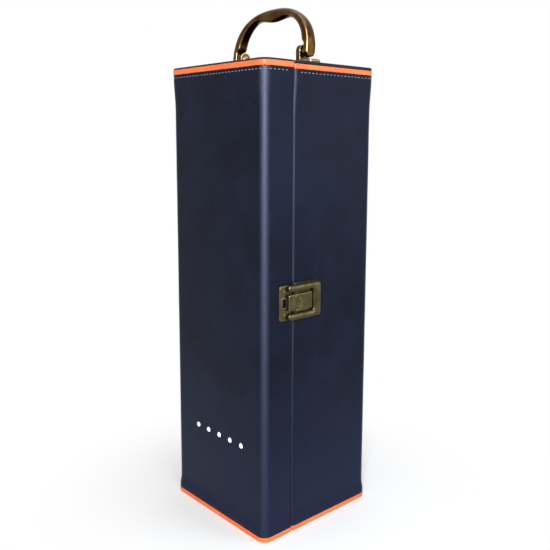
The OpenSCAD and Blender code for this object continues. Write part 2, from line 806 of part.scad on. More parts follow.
// Hook: a broad head with a lip, a neck between the lever's arms and a knuckle on the lever's pin
module latch_hook() {
    plate_end = hook_pivot_y - knuckle_r - 2 * knuckle_gap;
    neck_x0 = lever_pivot_y - arm_r - 2 * knuckle_gap;
    neck_hh = lever_h / 2 - arm_t - knuckle_gap;
    lip_short = 1.2; // how much less high the lip is than the head
    root = 0.4; // overlap of the knuckle's root and the neck
    color(brass) on_latch_side() difference() {
        union() {
            translate([0, 0, plate_low]) {
                soft_plate(lip_x0, neck_x0, -hook_h / 2, hook_h / 2, plate_t, tab_r, tab_edge);
                soft_plate(
                    lip_x0 + lip_t, plate_end, -neck_hh, neck_hh, plate_t, tab_r, tab_edge
                );
            }
            translate([lip_x0 + lip_t / 2, 0, plate_low - lip_drop])
                linear_extrude(lip_drop + plate_t / 2)
                    square([lip_t, hook_h - lip_short], center = true);
            translate([plate_end - root, -hook_knuckle_h / 2, plate_low])
                cube([hook_pivot_y - plate_end + root, hook_knuckle_h, plate_t]);
            upright_bar(hook_at, -hook_knuckle_h / 2, hook_knuckle_h / 2, knuckle_r);
        }
        upright_bar(hook_at, -hook_knuckle_h, hook_knuckle_h, hook_pin_r + run_fit);
    }
}

// Strike plate on the door, with the window that its catch is bent up from
module strike_plate() {
    x0 = -strike_gap - strike_len;
    corner = 2.2;
    win_x1 = lip_x0 - lip_gap;
    win_x0 = win_x1 - strike_window[0];
    win_hh = strike_window[1] / 2;
    rim_w = 1.1;
    rim_t = strike_t + 0.35;
    rim_edge = 0.35;
    catch_foot = 0.6; // rim on the seam side of the catch
    catch_r = 0.5;
    catch_edge = 0.3;
    color(brass) on_latch_side() difference() {
        union() {
            soft_plate(
                x0, -strike_gap, -strike_h / 2, strike_h / 2, strike_t, corner, strike_edge, 3
            );
            soft_plate(
                win_x0 - rim_w, catch_x0 + catch_len + catch_foot,
                -win_hh - rim_w, win_hh + rim_w, rim_t, rim_w, rim_edge
            );
            translate([0, 0, strike_t])
                soft_plate(
                    catch_x0, catch_x0 + catch_len, -win_hh, win_hh, catch_top - strike_t,
                    catch_r, catch_edge
                );
        }
        translate([win_x0, -win_hh, -through])
            cube([strike_window[0], 2 * win_hh, 2 * through + rim_t]);
        strike_nail_places() nail_hole(strike_t + through);
    }
}

module strike_nails() {
    color(brass) on_latch_side() strike_nail_places() dome_nail(strike_t + nail_len, nail_head_r, 0.6);
}

// ---------------------------------------------------------------- the assembly

case_back_board();
case_latch_side_board();
case_hinge_side_board();
case_top_board();
case_bottom_board();
case_leather_wrap();
case_top_cap();
case_base_cap();
case_top_band();
case_foot_band();
case_lining();
bottle_cradle();
neck_cradle();
door_front_board();
door_latch_side_board();
door_hinge_side_board();
door_top_board();
door_bottom_board();
door_leather_wrap();
door_top_cap();
door_base_cap();
door_top_band();
door_foot_band();
door_lining();
door_studs();
handle();
handle_bracket_left();
handle_bracket_right();
handle_pins();
handle_screws();
upper_hinge_case_leaf();
lower_hinge_case_leaf();
upper_hinge_door_leaf();
lower_hinge_door_leaf();
hinge_pins();
hinge_case_screws();
hinge_door_screws();
latch_frame();
latch_frame_nails();
latch_lever();
latch_lever_pins();
latch_hook();
latch_hook_pin();
strike_plate();
strike_nails();
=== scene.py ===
# Wine box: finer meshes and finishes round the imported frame. Metres, +Z up, the door faces -Y.
import json
import math
import bmesh
import bpy
import numpy as np
from mathutils import Matrix, Vector, noise


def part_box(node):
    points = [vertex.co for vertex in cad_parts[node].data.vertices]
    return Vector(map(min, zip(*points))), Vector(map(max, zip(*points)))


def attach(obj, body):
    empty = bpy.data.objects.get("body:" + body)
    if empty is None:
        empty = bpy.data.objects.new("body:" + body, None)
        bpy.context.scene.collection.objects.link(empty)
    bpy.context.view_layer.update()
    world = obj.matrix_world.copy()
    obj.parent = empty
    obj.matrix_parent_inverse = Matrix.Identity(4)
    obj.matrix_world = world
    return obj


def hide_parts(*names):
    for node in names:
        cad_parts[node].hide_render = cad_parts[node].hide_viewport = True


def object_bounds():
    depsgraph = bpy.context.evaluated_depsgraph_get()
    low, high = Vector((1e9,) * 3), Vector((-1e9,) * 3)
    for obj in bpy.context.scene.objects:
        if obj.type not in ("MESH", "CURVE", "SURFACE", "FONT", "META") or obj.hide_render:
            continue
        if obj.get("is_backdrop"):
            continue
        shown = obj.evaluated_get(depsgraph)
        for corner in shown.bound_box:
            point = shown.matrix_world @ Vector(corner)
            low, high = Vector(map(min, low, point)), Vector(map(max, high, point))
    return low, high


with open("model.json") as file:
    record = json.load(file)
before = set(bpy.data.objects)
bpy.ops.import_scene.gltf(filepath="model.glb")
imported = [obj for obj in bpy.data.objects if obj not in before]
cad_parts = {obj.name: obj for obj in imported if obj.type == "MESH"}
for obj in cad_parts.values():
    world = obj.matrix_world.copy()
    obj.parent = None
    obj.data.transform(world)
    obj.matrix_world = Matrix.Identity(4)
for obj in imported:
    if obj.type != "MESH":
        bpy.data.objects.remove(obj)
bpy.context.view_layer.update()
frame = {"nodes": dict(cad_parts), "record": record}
bpy.context.scene.view_settings.view_transform = "Standard"
mm = 0.001

cameraSetup = {
    "place": (0.4071, -0.3574, 0.2859),
    "yaw": 48.43,  # degrees towards the latch side
    "pitch": 8.21,  # degrees below the horizon
    "roll": 0.18,
    "lens": 45.84,
    "shiftY": -0.06,
    "clip": (0.02, 20.0),
}


def addObject(name, data):
    made = bpy.data.objects.new(name, data)
    bpy.context.scene.collection.objects.link(made)
    return made


def makeCamera():
    yaw = math.radians(cameraSetup["yaw"])
    pitch = math.radians(cameraSetup["pitch"])
    level = math.cos(pitch)
    look = Vector((-math.sin(yaw) * level, math.cos(yaw) * level, -math.sin(pitch)))
    camera = addObject("camera", bpy.data.cameras.new("camera"))
    camera.location = cameraSetup["place"]
    camera.rotation_euler = look.to_track_quat("-Z", "Y").to_euler()
    camera.rotation_euler.rotate_axis("Z", math.radians(cameraSetup["roll"]))
    camera.data.lens = cameraSetup["lens"]
    camera.data.shift_y = cameraSetup["shiftY"]
    camera.data.clip_start, camera.data.clip_end = cameraSetup["clip"]
    bpy.context.scene.camera = camera


makeCamera()
print("camera ready")


# helpers for nodes
def tone(red, green, blue):
    parts = [(c / 255 + 0.055) / 1.055 for c in (red, green, blue)]
    return tuple(p ** 2.4 for p in parts) + (1.0,)


def feed(tree, socket, value):
    if isinstance(value, bpy.types.NodeSocket):
        tree.links.new(value, socket)
    else:
        socket.default_value = value


def feedByName(tree, inputs, **sockets):
    for key, value in sockets.items():
        feed(tree, inputs[key.replace("_", " ")], value)


def node(tree, kind, settings=None, **sockets):
    made = tree.nodes.new("ShaderNode" + kind)
    for key, value in (settings or {}).items():
        setattr(made, key, value)
    feedByName(tree, made.inputs, **sockets)
    return made


def inOrder(tree, kind, settings, *values):
    # a node fed by the order of its sockets, for those that share a name
    made = node(tree, kind, settings)
    for socket, value in zip(made.inputs, values):
        feed(tree, socket, value)
    return made.outputs


def maths(tree, operation, a, b, clamp=False):
    return inOrder(tree, "Math", {"operation": operation, "use_clamp": clamp}, a, b)[0]


def vectorMaths(tree, operation, *values):
    return inOrder(tree, "VectorMath", {"operation": operation}, *values)


def remap(tree, value, low, high, toLow=0.0, toHigh=1.0):
    settings = {"interpolation_type": "SMOOTHSTEP"}
    return inOrder(tree, "MapRange", settings, value, low, high, toLow, toHigh)[0]


def blendColours(tree, share, a, b):
    made = node(tree, "Mix", {"data_type": "RGBA"})
    for place, value in ((0, share), (6, a), (7, b)):
        feed(tree, made.inputs[place], value)
    return made.outputs[2]


def stain(tree, colour, other, mask, share):
    return blendColours(tree, maths(tree, "MULTIPLY", mask, share), colour, other)


def startGroup(name, values, outputs):
    # each effect takes a place and its own values, and gives out masks or heights
    tree = bpy.data.node_groups.new(name, "ShaderNodeTree")
    tree.interface.new_socket("Place", in_out="INPUT", socket_type="NodeSocketVector")
    for label, value in values.items():
        socket = tree.interface.new_socket(label, in_out="INPUT", socket_type="NodeSocketFloat")
        socket.default_value = value
    for label in outputs:
        tree.interface.new_socket(label, in_out="OUTPUT", socket_type="NodeSocketFloat")
    return tree, tree.nodes.new("NodeGroupInput").outputs, tree.nodes.new("NodeGroupOutput").inputs


def placeGroup(tree, group, place, **values):
    return node(tree, "Group", {"node_tree": group}, Place=place, **values).outputs


def emptyTree(holder):
    holder.use_nodes = True
    holder.node_tree.nodes.clear()
    return holder.node_tree


def startMaterial(name):
    material = bpy.data.materials.new(name)
    tree = emptyTree(material)
    skin = node(tree, "BsdfPrincipled")
    node(tree, "OutputMaterial", Surface=skin.outputs[0])
    place = node(tree, "TexCoord").outputs["Object"]
    return material, tree, skin.inputs, place


def bump(tree, height, distance):
    return node(tree, "Bump", Height=height, Distance=distance).outputs[0]


# effects that more than one finish uses
effectShape = {
    "drift": 260.0,  # fineness of the leather cells' wandering
    "driftBy": 0.0006,  # metres
    "smallCells": 2.3,  # to one large cell
    "pores": 4.0,
    "valleys": (0.22, 0.25),  # width, round large and small cells
    "grainShares": (0.6, 0.3, 0.08),  # of large cells, small cells and pores
    "mottleSpread": (0.3, 0.7),  # part of the noise that fills the whole mask
    "wornBreaks": (0.25, 0.55, 0.55, 1.0),  # noise from and to, wear and painted highlight left from and to
    "hemmedIn": (0.35, 0.95, 1.0, 0.0),  # openness from and to, dirt and painted shade from and to
    "dirtScale": 700.0,
    "dirtPatches": (0.3, 0.7, 0.7, 1.0),
    "lineWays": ((1.0, 0.06, 1.0), (0.08, 1.0, 0.5)),
}


def makeGrain():
    # pebbled grain: large cells, small cells between them and a dusting of pores
    tree, given, out = startGroup("leatherGrain", {"Cells": 900.0}, ["Height", "Valley"])
    shape = effectShape
    drift = node(tree, "TexNoise", Vector=given["Place"], Scale=shape["drift"], Detail=2.0)
    by = (shape["driftBy"],) * 3
    moved = vectorMaths(tree, "MULTIPLY_ADD", drift.outputs["Color"], by, given["Place"])[0]
    layers = []
    for finer, width in zip((1.0, shape["smallCells"]), shape["valleys"]):
        scale = maths(tree, "MULTIPLY", given["Cells"], finer)
        cells = node(tree, "TexVoronoi", {"feature": "DISTANCE_TO_EDGE"}, Vector=moved, Scale=scale)
        layers.append(remap(tree, cells.outputs["Distance"], 0.0, width))
    scale = maths(tree, "MULTIPLY", given["Cells"], shape["pores"])
    pores = node(tree, "TexNoise", Vector=given["Place"], Scale=scale, Detail=3.0)
    tall = 0.0
    for layer, share in zip(layers + [pores.outputs["Fac"]], shape["grainShares"]):
        tall = maths(tree, "ADD", tall, maths(tree, "MULTIPLY", layer, share))
    feed(tree, out["Height"], tall)
    feed(tree, out["Valley"], maths(tree, "SUBTRACT", 1.0, layers[0], clamp=True))
    return tree


def makeMottle():
    # slow, uneven change of tone
    tree, given, out = startGroup("mottle", {"Scale": 30.0}, ["Mask"])
    broad = node(tree, "TexNoise", Vector=given["Place"], Scale=given["Scale"], Detail=5.0,
                 Roughness=0.6)
    feed(tree, out["Mask"], remap(tree, broad.outputs["Fac"], *effectShape["mottleSpread"]))
    return tree


def makeWearAndSheen():
    # rubbed edges and painted highlights, broken up; each mesh carries how sharply it turns, and the
    # leather wraps carry their painted corner highlight instead
    tree, given, out = startGroup("edgeWear", {"From": 0.2, "To": 0.8, "Breaks": 400.0}, ["Mask"])
    turn = node(tree, "Attribute", {"attribute_name": "edge"}).outputs["Fac"]
    edge = inOrder(tree, "MapRange", None, turn, given["From"], given["To"])[0]
    rough = node(tree, "TexNoise", Vector=given["Place"], Scale=given["Breaks"], Detail=4.0)
    broken = remap(tree, rough.outputs["Fac"], *effectShape["wornBreaks"])
    feed(tree, out["Mask"], maths(tree, "MULTIPLY", edge, broken, clamp=True))
    return tree


def makeGrimeAndShade():
    # dirt and shade that gather where a surface is hemmed in
    tree, given, out = startGroup("grime", {"Reach": 2.0 * mm}, ["Mask"])
    shape = effectShape
    exposed = node(tree, "AmbientOcclusion", {"samples": 8}, Distance=given["Reach"])
    patchy = node(tree, "TexNoise", Vector=given["Place"], Scale=shape["dirtScale"], Detail=3.0)
    closed = remap(tree, exposed.outputs["AO"], *shape["hemmedIn"])
    uneven = remap(tree, patchy.outputs["Fac"], *shape["dirtPatches"])
    feed(tree, out["Mask"], maths(tree, "MULTIPLY", closed, uneven, clamp=True))
    return tree


def makeHairlines():
    # fine marks in two directions
    tree, given, out = startGroup("hairlines", {"Scale": 900.0}, ["Height"])
    total = 0.0
    for stretch in effectShape["lineWays"]:
        place = vectorMaths(tree, "MULTIPLY", given["Place"], stretch)[0]
        lines = node(tree, "TexNoise", Vector=place, Scale=given["Scale"], Detail=3.0, Roughness=0.7)
        total = maths(tree, "ADD", total, lines.outputs["Fac"])
    feed(tree, out["Height"], maths(tree, "MULTIPLY", total, 0.5))
    return tree


grain = makeGrain()
mottle = makeMottle()
wear = makeWearAndSheen()
grime = makeGrimeAndShade()
hairlines = makeHairlines()
print("shared effects ready")

navyLook = {
    "deep": tone(11, 14, 24),
    "light": tone(17, 22, 38),
    "valley": tone(11, 14, 24),
    "valleyShare": 0.45,
    # painted highlight on the wraps' upright corners and seams, and rubbed wear on the caps
    "rubbed": tone(98, 105, 125),
    "rubbedShare": 0.9,
    "pale": tone(25, 31, 50),  # painted bounce light from the floor: paler and bluer towards the foot
    "paleFrom": (0.0, 0.15),  # height in metres, over which it fades
    "patch": 22.0,
    "wear": (0.0, 1.0),
    "breaks": 1100.0,
    "rough": (0.24, 0.32),
    "roughOver": 1.6,
    "roughPatches": 1.0,
    "shine": 0.065,
    "tint": (0.62, 0.72, 1.0, 1.0),
    "cells": 1250.0,
    "grainDepth": 0.018 * mm,
}
capLook = {  # the caps' skin is browner
    **navyLook,
    "deep": tone(24, 17, 19),
    "light": tone(36, 27, 29),
    "valley": tone(24, 17, 19),
}
bandLook = {
    "deep": tone(222, 96, 40),
    "light": tone(230, 110, 54),
    "valley": tone(150, 62, 40),
    "valleyShare": 0.22,
    "rubbed": tone(230, 110, 54),
    "rubbedShare": 0.25,
    "patch": 60.0,
    "wear": (0.3, 1.5),
    "breaks": 350.0,
    "rough": (0.22, 0.5),
    "roughOver": 1.0,
    "roughPatches": 0.0,
    "shine": 0.35,
    "tint": (1.0, 1.0, 1.0, 1.0),
    "cells": 1500.0,
    "grainDepth": 0.02 * mm,
}


def dyedLeather(name, look):
    material, tree, skin, place = startMaterial(name)
    relief, valley = placeGroup(tree, grain, place, Cells=look["cells"])
    tint = placeGroup(tree, mottle, place, Scale=look["patch"])[0]
    low, high = look["wear"]
    rubbed = placeGroup(tree, wear, place, From=low, To=high, Breaks=look["breaks"])[0]
    colour = blendColours(tree, tint, look["deep"], look["light"])
    # painted bounce light: the leather turns paler towards the foot
    if "pale" in look:
        height = node(tree, "SeparateXYZ", Vector=place).outputs["Z"]
        foot = remap(tree, height, *look["paleFrom"], 1.0, 0.0)
        colour = blendColours(tree, foot, colour, look["pale"])
    colour = stain(tree, colour, look["valley"], valley, look["valleyShare"])
    # painted highlight on the wraps' corners and seams, rubbed wear elsewhere
    colour = stain(tree, colour, look["rubbed"], rubbed, look["rubbedShare"])
    uneven = maths(tree, "ADD", maths(tree, "MULTIPLY", tint, look["roughPatches"]), valley)
    rough = remap(tree, uneven, 0.0, look["roughOver"], *look["rough"])
    feedByName(tree, skin, Base_Color=colour, Roughness=rough, Specular_IOR_Level=look["shine"],
               Specular_Tint=look["tint"], Normal=bump(tree, relief, look["grainDepth"]))
    return material


boardLook = {
    "early": tone(196, 158, 112),
    "late": tone(168, 124, 80),
    "dull": tone(150, 112, 74),
    "dullShare": 0.4,
    "patch": 40.0,
    "rings": 90.0,
    "waver": 6.0,
    "ringDepth": 0.05 * mm,
    "rough": 0.7,
}


def boardWood():
    look = boardLook
    material, tree, skin, place = startMaterial("boardWood")
    rings = node(tree, "TexWave", {"bands_direction": "X"}, Vector=place, Scale=look["rings"],
                 Distortion=look["waver"], Detail=3.0, Detail_Scale=2.0).outputs["Fac"]
    tint = placeGroup(tree, mottle, place, Scale=look["patch"])[0]
    colour = blendColours(tree, rings, look["early"], look["late"])
    colour = stain(tree, colour, look["dull"], tint, look["dullShare"])
    feedByName(tree, skin, Base_Color=colour, Roughness=look["rough"],
               Normal=bump(tree, rings, look["ringDepth"]))
    return material


flockLook = {
    "dark": tone(44, 38, 36),
    "light": tone(62, 54, 50),
    "deep": tone(30, 26, 25),  # between the hairs
    "deepShare": 0.5,
    "patch": 26.0,
    "nap": 5200.0,
    "napDepth": 0.25 * mm,
    "rough": 0.95,
    "shine": 0.1,
    "sheen": (0.35, 0.5),  # weight and roughness
}


def flockCloth():
    look = flockLook
    material, tree, skin, place = startMaterial("flockCloth")
    nap = node(tree, "TexNoise", Vector=place, Scale=look["nap"], Detail=2.0).outputs["Fac"]
    tint = placeGroup(tree, mottle, place, Scale=look["patch"])[0]
    colour = blendColours(tree, tint, look["dark"], look["light"])
    colour = stain(tree, colour, look["deep"], nap, look["deepShare"])
    feedByName(tree, skin, Base_Color=colour, Roughness=look["rough"], Specular_IOR_Level=look["shine"],
               Sheen_Weight=look["sheen"][0], Sheen_Roughness=look["sheen"][1],
               Normal=bump(tree, nap, look["napDepth"]))
    return material


studLook = {
    "shade": tone(232, 234, 246),
    "light": tone(246, 247, 255),
    "patch": 700.0,
    "rough": (0.16, 0.26),
    "coat": 0.5,
}


def studEnamel():
    look = studLook
    material, tree, skin, place = startMaterial("studEnamel")
    tint = placeGroup(tree, mottle, place, Scale=look["patch"])[0]
    feedByName(tree, skin, Base_Color=blendColours(tree, tint, look["shade"], look["light"]),
               Roughness=remap(tree, tint, 0.0, 1.0, *look["rough"]), Coat_Weight=look["coat"])
    return material


metalLook = {  # the same for both metals
    "dirtyMetallic": 0.6,
    "dirtDulls": 0.8,
    "linesDull": 0.5,
    "dullFrom": 0.2,
    "dullTo": 1.8,
    "lineDepth": 0.004 * mm,
}
brassLook = {
    "dark": tone(66, 59, 36),
    "body": tone(88, 80, 52),
    "bright": tone(158, 149, 108),
    # the colour of dirt and of painted shade in hollows
    "dirt": tone(22, 19, 10),
    "patch": 160.0,
    "wear": (0.3, 2.2),
    "breaks": 500.0,
    "reach": 2.5 * mm,
    "lines": 2600.0,
    "rough": (0.25, 0.37),
}
bronzeLook = {
    "dark": tone(60, 36, 14),
    "body": tone(92, 62, 28),
    # worn edges, lightened further to paint the highlight along the handle's ridges
    "bright": tone(232, 206, 150),
    # the colour of dirt and of painted shade in hollows
    "dirt": tone(22, 15, 7),
    "patch": 110.0,
    "wear": (0.16, 0.7),
    "breaks": 300.0,
    "reach": 4.0 * mm,
    "lines": 1500.0,
    "rough": (0.13, 0.26),
}


def agedMetal(name, look):
    both = metalLook
    material, tree, skin, place = startMaterial(name)
    tint = placeGroup(tree, mottle, place, Scale=look["patch"])[0]
    low, high = look["wear"]
    rubbed = placeGroup(tree, wear, place, From=low, To=high, Breaks=look["breaks"])[0]
    dirt = placeGroup(tree, grime, place, Reach=look["reach"])[0]
    lines = placeGroup(tree, hairlines, place, Scale=look["lines"])[0]
    colour = blendColours(tree, tint, look["dark"], look["body"])
    # worn edges turn lighter; on the bronze this also paints the highlight along the ridges
    colour = blendColours(tree, rubbed, colour, look["bright"])
    # dirt and painted shade where the surface is hemmed in
    colour = blendColours(tree, dirt, colour, look["dirt"])
    dull = maths(tree, "SUBTRACT", 1.0, rubbed)
    dull = maths(tree, "ADD", dull, maths(tree, "MULTIPLY", dirt, both["dirtDulls"]))
    dull = maths(tree, "ADD", dull, maths(tree, "MULTIPLY", lines, both["linesDull"]))
    rough = remap(tree, dull, both["dullFrom"], both["dullTo"], *look["rough"])
    metallic = remap(tree, dirt, 0.0, 1.0, 1.0, both["dirtyMetallic"])
    feedByName(tree, skin, Base_Color=colour, Roughness=rough, Metallic=metallic,
               Normal=bump(tree, lines, both["lineDepth"]))
    return material


threadLook = {
    "main": tone(128, 130, 152),
    "dark": tone(96, 98, 124),
    "twist": 5200.0,
    "twistDepth": 0.05 * mm,
    "rough": 0.6,
}


def sewingThread():
    look = threadLook
    material, tree, skin, place = startMaterial("sewingThread")
    strand = node(tree, "TexNoise", Vector=place, Scale=look["twist"], Detail=2.0).outputs["Fac"]
    feedByName(tree, skin, Base_Color=blendColours(tree, strand, look["dark"], look["main"]),
               Roughness=look["rough"], Normal=bump(tree, strand, look["twistDepth"]))
    return material


threadFinish = sewingThread()
capFinish = dyedLeather("capLeather", capLook)
finishes = {
    "navy_leather": dyedLeather("navyLeather", navyLook),
    "band_leather": dyedLeather("orangeLeather", bandLook),
    "board": boardWood(),
    "flock": flockCloth(),
    "stud": studEnamel(),
    "aged_brass": agedMetal("agedBrass", brassLook),
    "antique_bronze": agedMetal("antiqueBronze", bronzeLook),
}
slotOf = {row["node"]: row["material_slot"] for row in frame["record"]["subparts"]}
bodies = frame["record"]["behaviour"]["bodies"]
bodyOf = {member: body for body, members in bodies.items() for member in members}
for source, slot in slotOf.items():
    piece = frame["nodes"][source]
    piece.data.materials.clear()
    piece.data.materials.append(finishes[slot])
print("finishes ready")


# helpers for meshes, which are in millimetres until a piece is added
def measure(source):
    low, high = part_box(source)
    return np.array(low) / mm, np.array(high) / mm


def middleOf(source, axis):
    low, high = measure(source)
    return (low[axis] + high[axis]) / 2


def smooth(t):
    t = np.clip(t, 0.0, 1.0)
    return t * t * (3 - 2 * t)


def readMesh(mesh):
    # its points in millimetres and their normals
    found = []
    for label in ("co", "normal"):
        values = np.empty(len(mesh.vertices) * 3)
        mesh.vertices.foreach_get(label, values)
        found.append(values.reshape(-1, 3))
    return found[0] / mm, found[1]


edgeMarks = {
    "passes": 3,  # rounds of easing, so that a mark spreads a little
    "shares": {"navy_leather": 0.12},  # small folds in leather count for less
}


def markEdges(mesh, share):
    # how sharply the surface turns, in 1/mm, more than 0 on a ridge
    points, normals = readMesh(mesh)
    ends = np.empty(len(mesh.edges) * 2, int)
    mesh.edges.foreach_get("vertices", ends)
    a, b = ends.reshape(-1, 2).T
    step = points[b] - points[a]
    length = np.maximum((step ** 2).sum(1), 1e-9)
    count = np.maximum(np.bincount(ends, minlength=len(points)), 1)
    turn = np.bincount(a, -2 * (step * normals[a]).sum(1) / length, len(points))
    turn += np.bincount(b, 2 * (step * normals[b]).sum(1) / length, len(points))
    turn /= count
    for _ in range(edgeMarks["passes"]):
        near = np.bincount(a, turn[b], len(points)) + np.bincount(b, turn[a], len(points))
        turn = (turn + near / count) / 2
    layer = mesh.attributes.new("edge", "FLOAT", "POINT")
    layer.data.foreach_set("value", (turn * share).astype(np.float32))


def formMesh(name, points, faces, weld=0.0):
    mesh = bpy.data.meshes.new(name)
    mesh.from_pydata([tuple(p) for p in points], [], faces)
    shell = bmesh.new()
    shell.from_mesh(mesh)
    if weld:
        bmesh.ops.remove_doubles(shell, verts=shell.verts, dist=weld)
    bmesh.ops.recalc_face_normals(shell, faces=shell.faces)
    shell.to_mesh(mesh)
    shell.free()
    return mesh


def dressPiece(piece, source, replaced=True, sharp=None, finish=None):
    # source is the frame's node whose body and slot the piece shares
    slot = slotOf[source]
    piece.data.materials.clear()
    piece.data.materials.append(finish or finishes[slot])
    piece.data.shade_smooth()
    markEdges(piece.data, edgeMarks["shares"].get(slot, 1.0))
    if sharp:
        piece.data.set_sharp_from_angle(angle=math.radians(sharp))
    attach(piece, bodyOf[source])
    if replaced:
        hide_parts(source)
    return piece


def addPiece(name, points, faces, source, **dressing):
    mesh = formMesh(name, np.asarray(points, float) * mm, faces, 0.0005 * mm)
    return dressPiece(addObject(name, mesh), source, **dressing)


def joined(source):
    return source.replace("_", " ").title().replace(" ", "")


def atHeight(loop, z):
    return np.column_stack([loop, np.full(len(loop), z)])


def gridFaces(rows, columns, closeRows=False, start=0):
    # quads between loops of points, each loop closed on itself
    last = rows if closeRows else rows - 1
    faces = []
    for i in range(last):
        a = start + i * columns
        b = start + ((i + 1) % rows) * columns
        for k in range(columns):
            n = (k + 1) % columns
            faces.append((a + k, a + n, b + n, b + k))
    return faces


def tubeFaces(rows, columns, start=0):
    # the same, with a face over each end
    faces = gridFaces(rows, columns, start=start)
    faces.append(tuple(start + k for k in range(columns)))
    faces.append(tuple(start + (rows - 1) * columns + k for k in reversed(range(columns))))
    return faces


def fanFaces(loop, tip):
    return [(loop[k], loop[(k + 1) % len(loop)], tip) for k in range(len(loop))]


def turned(profile, sides=48, lift=lambda x, y, z: 0.0):
    # solid of revolution round z, from top middle to bottom middle
    angles = np.linspace(0, 2 * np.pi, sides, endpoint=False)
    points = []
    for r, z in profile[1:-1]:
        ring = np.stack([r * np.cos(angles), r * np.sin(angles), np.full(sides, z)], -1)
        ring[:, 2] += [lift(*p) for p in ring]
        points.extend(ring)
    rows, top = len(profile) - 2, profile[0][1]
    points += [(0, 0, top + lift(0, 0, top)), (0, 0, profile[-1][1])]
    faces = gridFaces(rows, sides)
    faces += fanFaces(range(sides), rows * sides)
    faces += fanFaces(range((rows - 1) * sides, rows * sides), rows * sides + 1)
    return np.array(points), faces


def gather(parts):
    # several sets of points and faces as one
    allPoints, allFaces = [], []
    for points, faces in parts:
        shift = len(allPoints)
        allPoints.extend(points)
        allFaces.extend([tuple(i + shift for i in f) for f in faces])
    return allPoints, allFaces


def repeated(part, places):
    # copies of one part at (origin, x axis, y axis, z axis)
    points, faces = part
    return gather([
        (points @ np.array(axes, float) + np.array(origin, float), faces) for origin, *axes in places
    ])


# places read from the frame
faceX = measure("latch_frame")[0][0]  # the plain leather on the latch side
hem = measure("case_leather_wrap")[1][0] - faceX
openingHalf = -measure("case_lining")[0][0]
openingFloor = measure("case_lining")[0][2]
halves = {}
for half, back in (("case", 1.0), ("door", -1.0)):
    low, high = measure(half + "_leather_wrap")
    seam = low[1] if half == "case" else high[1]
    halves[half] = {
        "seam": seam,
        "back": back,  # way from the seam face to the plain leather opposite
        "depth": faceX - back * seam,
        "roof": measure(half + "_lining")[1][2],
        "low": low[2],
        "high": high[2],
    }

leatherShape = {
    "corner": 7.0,  # radius of the upright corners at the hems
    "leastCorner": 0.4,
    "seamCorner": {"case": 2.0, "door": 1.4},
    "under": 2.2,  # depth of the wrap's inner face below the hems
    "turnIn": 1.2,  # thickness of the leather on the seam face
    "topFade": (3.0, 27.0),  # where the top hem's swell ends and starts, from the hem's edge
    "footFade": (2.0, 11.0),
    "edge": 0.45,  # rounding of a hem's edge
    "lip": 0.8,  # rounding of the leather round the opening
    "lipSteps": (0, 0.12, 0.3, 0.6, 1.0),
    "wedge": (1.7, 38.0),  # growth of the case's seam corner towards the top, and its length
    "footWedge": (0.5, 14.0),
    "softRub": (1.6, 0.08, 0.3),  # painted highlight down the upright corners: how steeply it falls off, and its share at foot and top
    # a narrower painted highlight line down each corner, and how fast it fades downwards
    "lineRub": (7.0, 0.5),
    "rubFade": 1.8,
    # the painted highlight near the seam edges, stronger on the case than on the door
    "seamReach": 4.0,
    "seamRub": {"case": 0.62, "door": 0.15},
    "ripple": (0.07, 22.0),  # height and length
    "calmEnds": (3.0, 12.0),  # where the ripple starts and how far it takes to grow
    "calmSeam": (2.0, 10.0),
    "groove": (0.14, 0.5),  # depth and width of the stitches' groove
    "seamColumns": (0, 12, 24, 34, 42),  # points on the seam face, up to the opening's edge
    "sideSteps": {"case": 30, "door": 10},
    "leastStep": 0.03,
}
stitching = {
    "down": 2.3,  # from the hem's edge
    "pitch": 3.6,
    "length": 2.1,
    "thick": 0.55,
    "startGap": 3.2,  # from the seam
    "slant": 0.12,
    "rise": 0.6,
    "form": ((-1, 0.35, -0.32), (-0.86, 0.8, -0.1), (-0.5, 1, 0.1), (0, 1, 0.16), (0.5, 1, 0.1),
             (0.86, 0.8, -0.1), (1, 0.35, -0.32)),  # place along, thickness, height
    "sides": 8,
}


def seamRadius(half, z):
    grow = 0.0
    if half == "case":
        size, length = leatherShape["wedge"]
        grow = size * smooth(1 - (halves[half]["high"] - z) / length)
        size, length = leatherShape["footWedge"]
        grow += size * smooth(1 - (z - halves[half]["low"]) / length)
    return leatherShape["seamCorner"][half] + grow


def planLoop(half, out, radius, seamIn=0.0):
    # plan outline as (x, y) points and outward directions; out is measured from the plain leather
    shape = leatherShape
    side = halves[half]
    hx = faceX + out
    far = side["depth"] + out
    corner = max(shape["corner"] - hem + out, shape["leastCorner"])
    seamX = list(shape["seamColumns"])
    seamX += [openingHalf + shape["lip"] * t for t in shape["lipSteps"]]
    seamX += list(np.linspace(seamX[-1], hx - radius, 4)[1:-1])
    right = [(x, seamIn, 0, -1) for x in seamX]
    for t in np.radians(np.linspace(0, 90, 9)):
        right.append((hx - radius + radius * math.sin(t), seamIn + radius - radius * math.cos(t),
                      math.sin(t), -math.cos(t)))
    for v in np.linspace(seamIn + radius, far - corner, shape["sideSteps"][half] + 1)[1:-1]:
        right.append((hx, v, 1, 0))
    for t in np.radians(np.linspace(0, 90, 13)):
        right.append((hx - corner + corner * math.cos(t), far - corner + corner * math.sin(t),
                      math.cos(t), math.sin(t)))
    for x in np.linspace(hx - corner, 0, 20)[1:]:
        right.append((x, far, 0, 1))
    left = [(-x, v, -nx, nv) for x, v, nx, nv in right[-2:0:-1]]
    whole = np.array(right + left)
    whole[:, 1] = side["seam"] + side["back"] * whole[:, 1]
    whole[:, 3] *= side["back"]
    return whole[:, :2], whole[:, 2:]


def hemSwell(half, z):
    side = halves[half]
    swell = 0.0
    for fade, distance in (("topFade", side["high"] - z), ("footFade", z - side["low"])):
        a, b = leatherShape[fade]
        swell = max(swell, smooth((b - distance) / (b - a)))
    return hem * swell


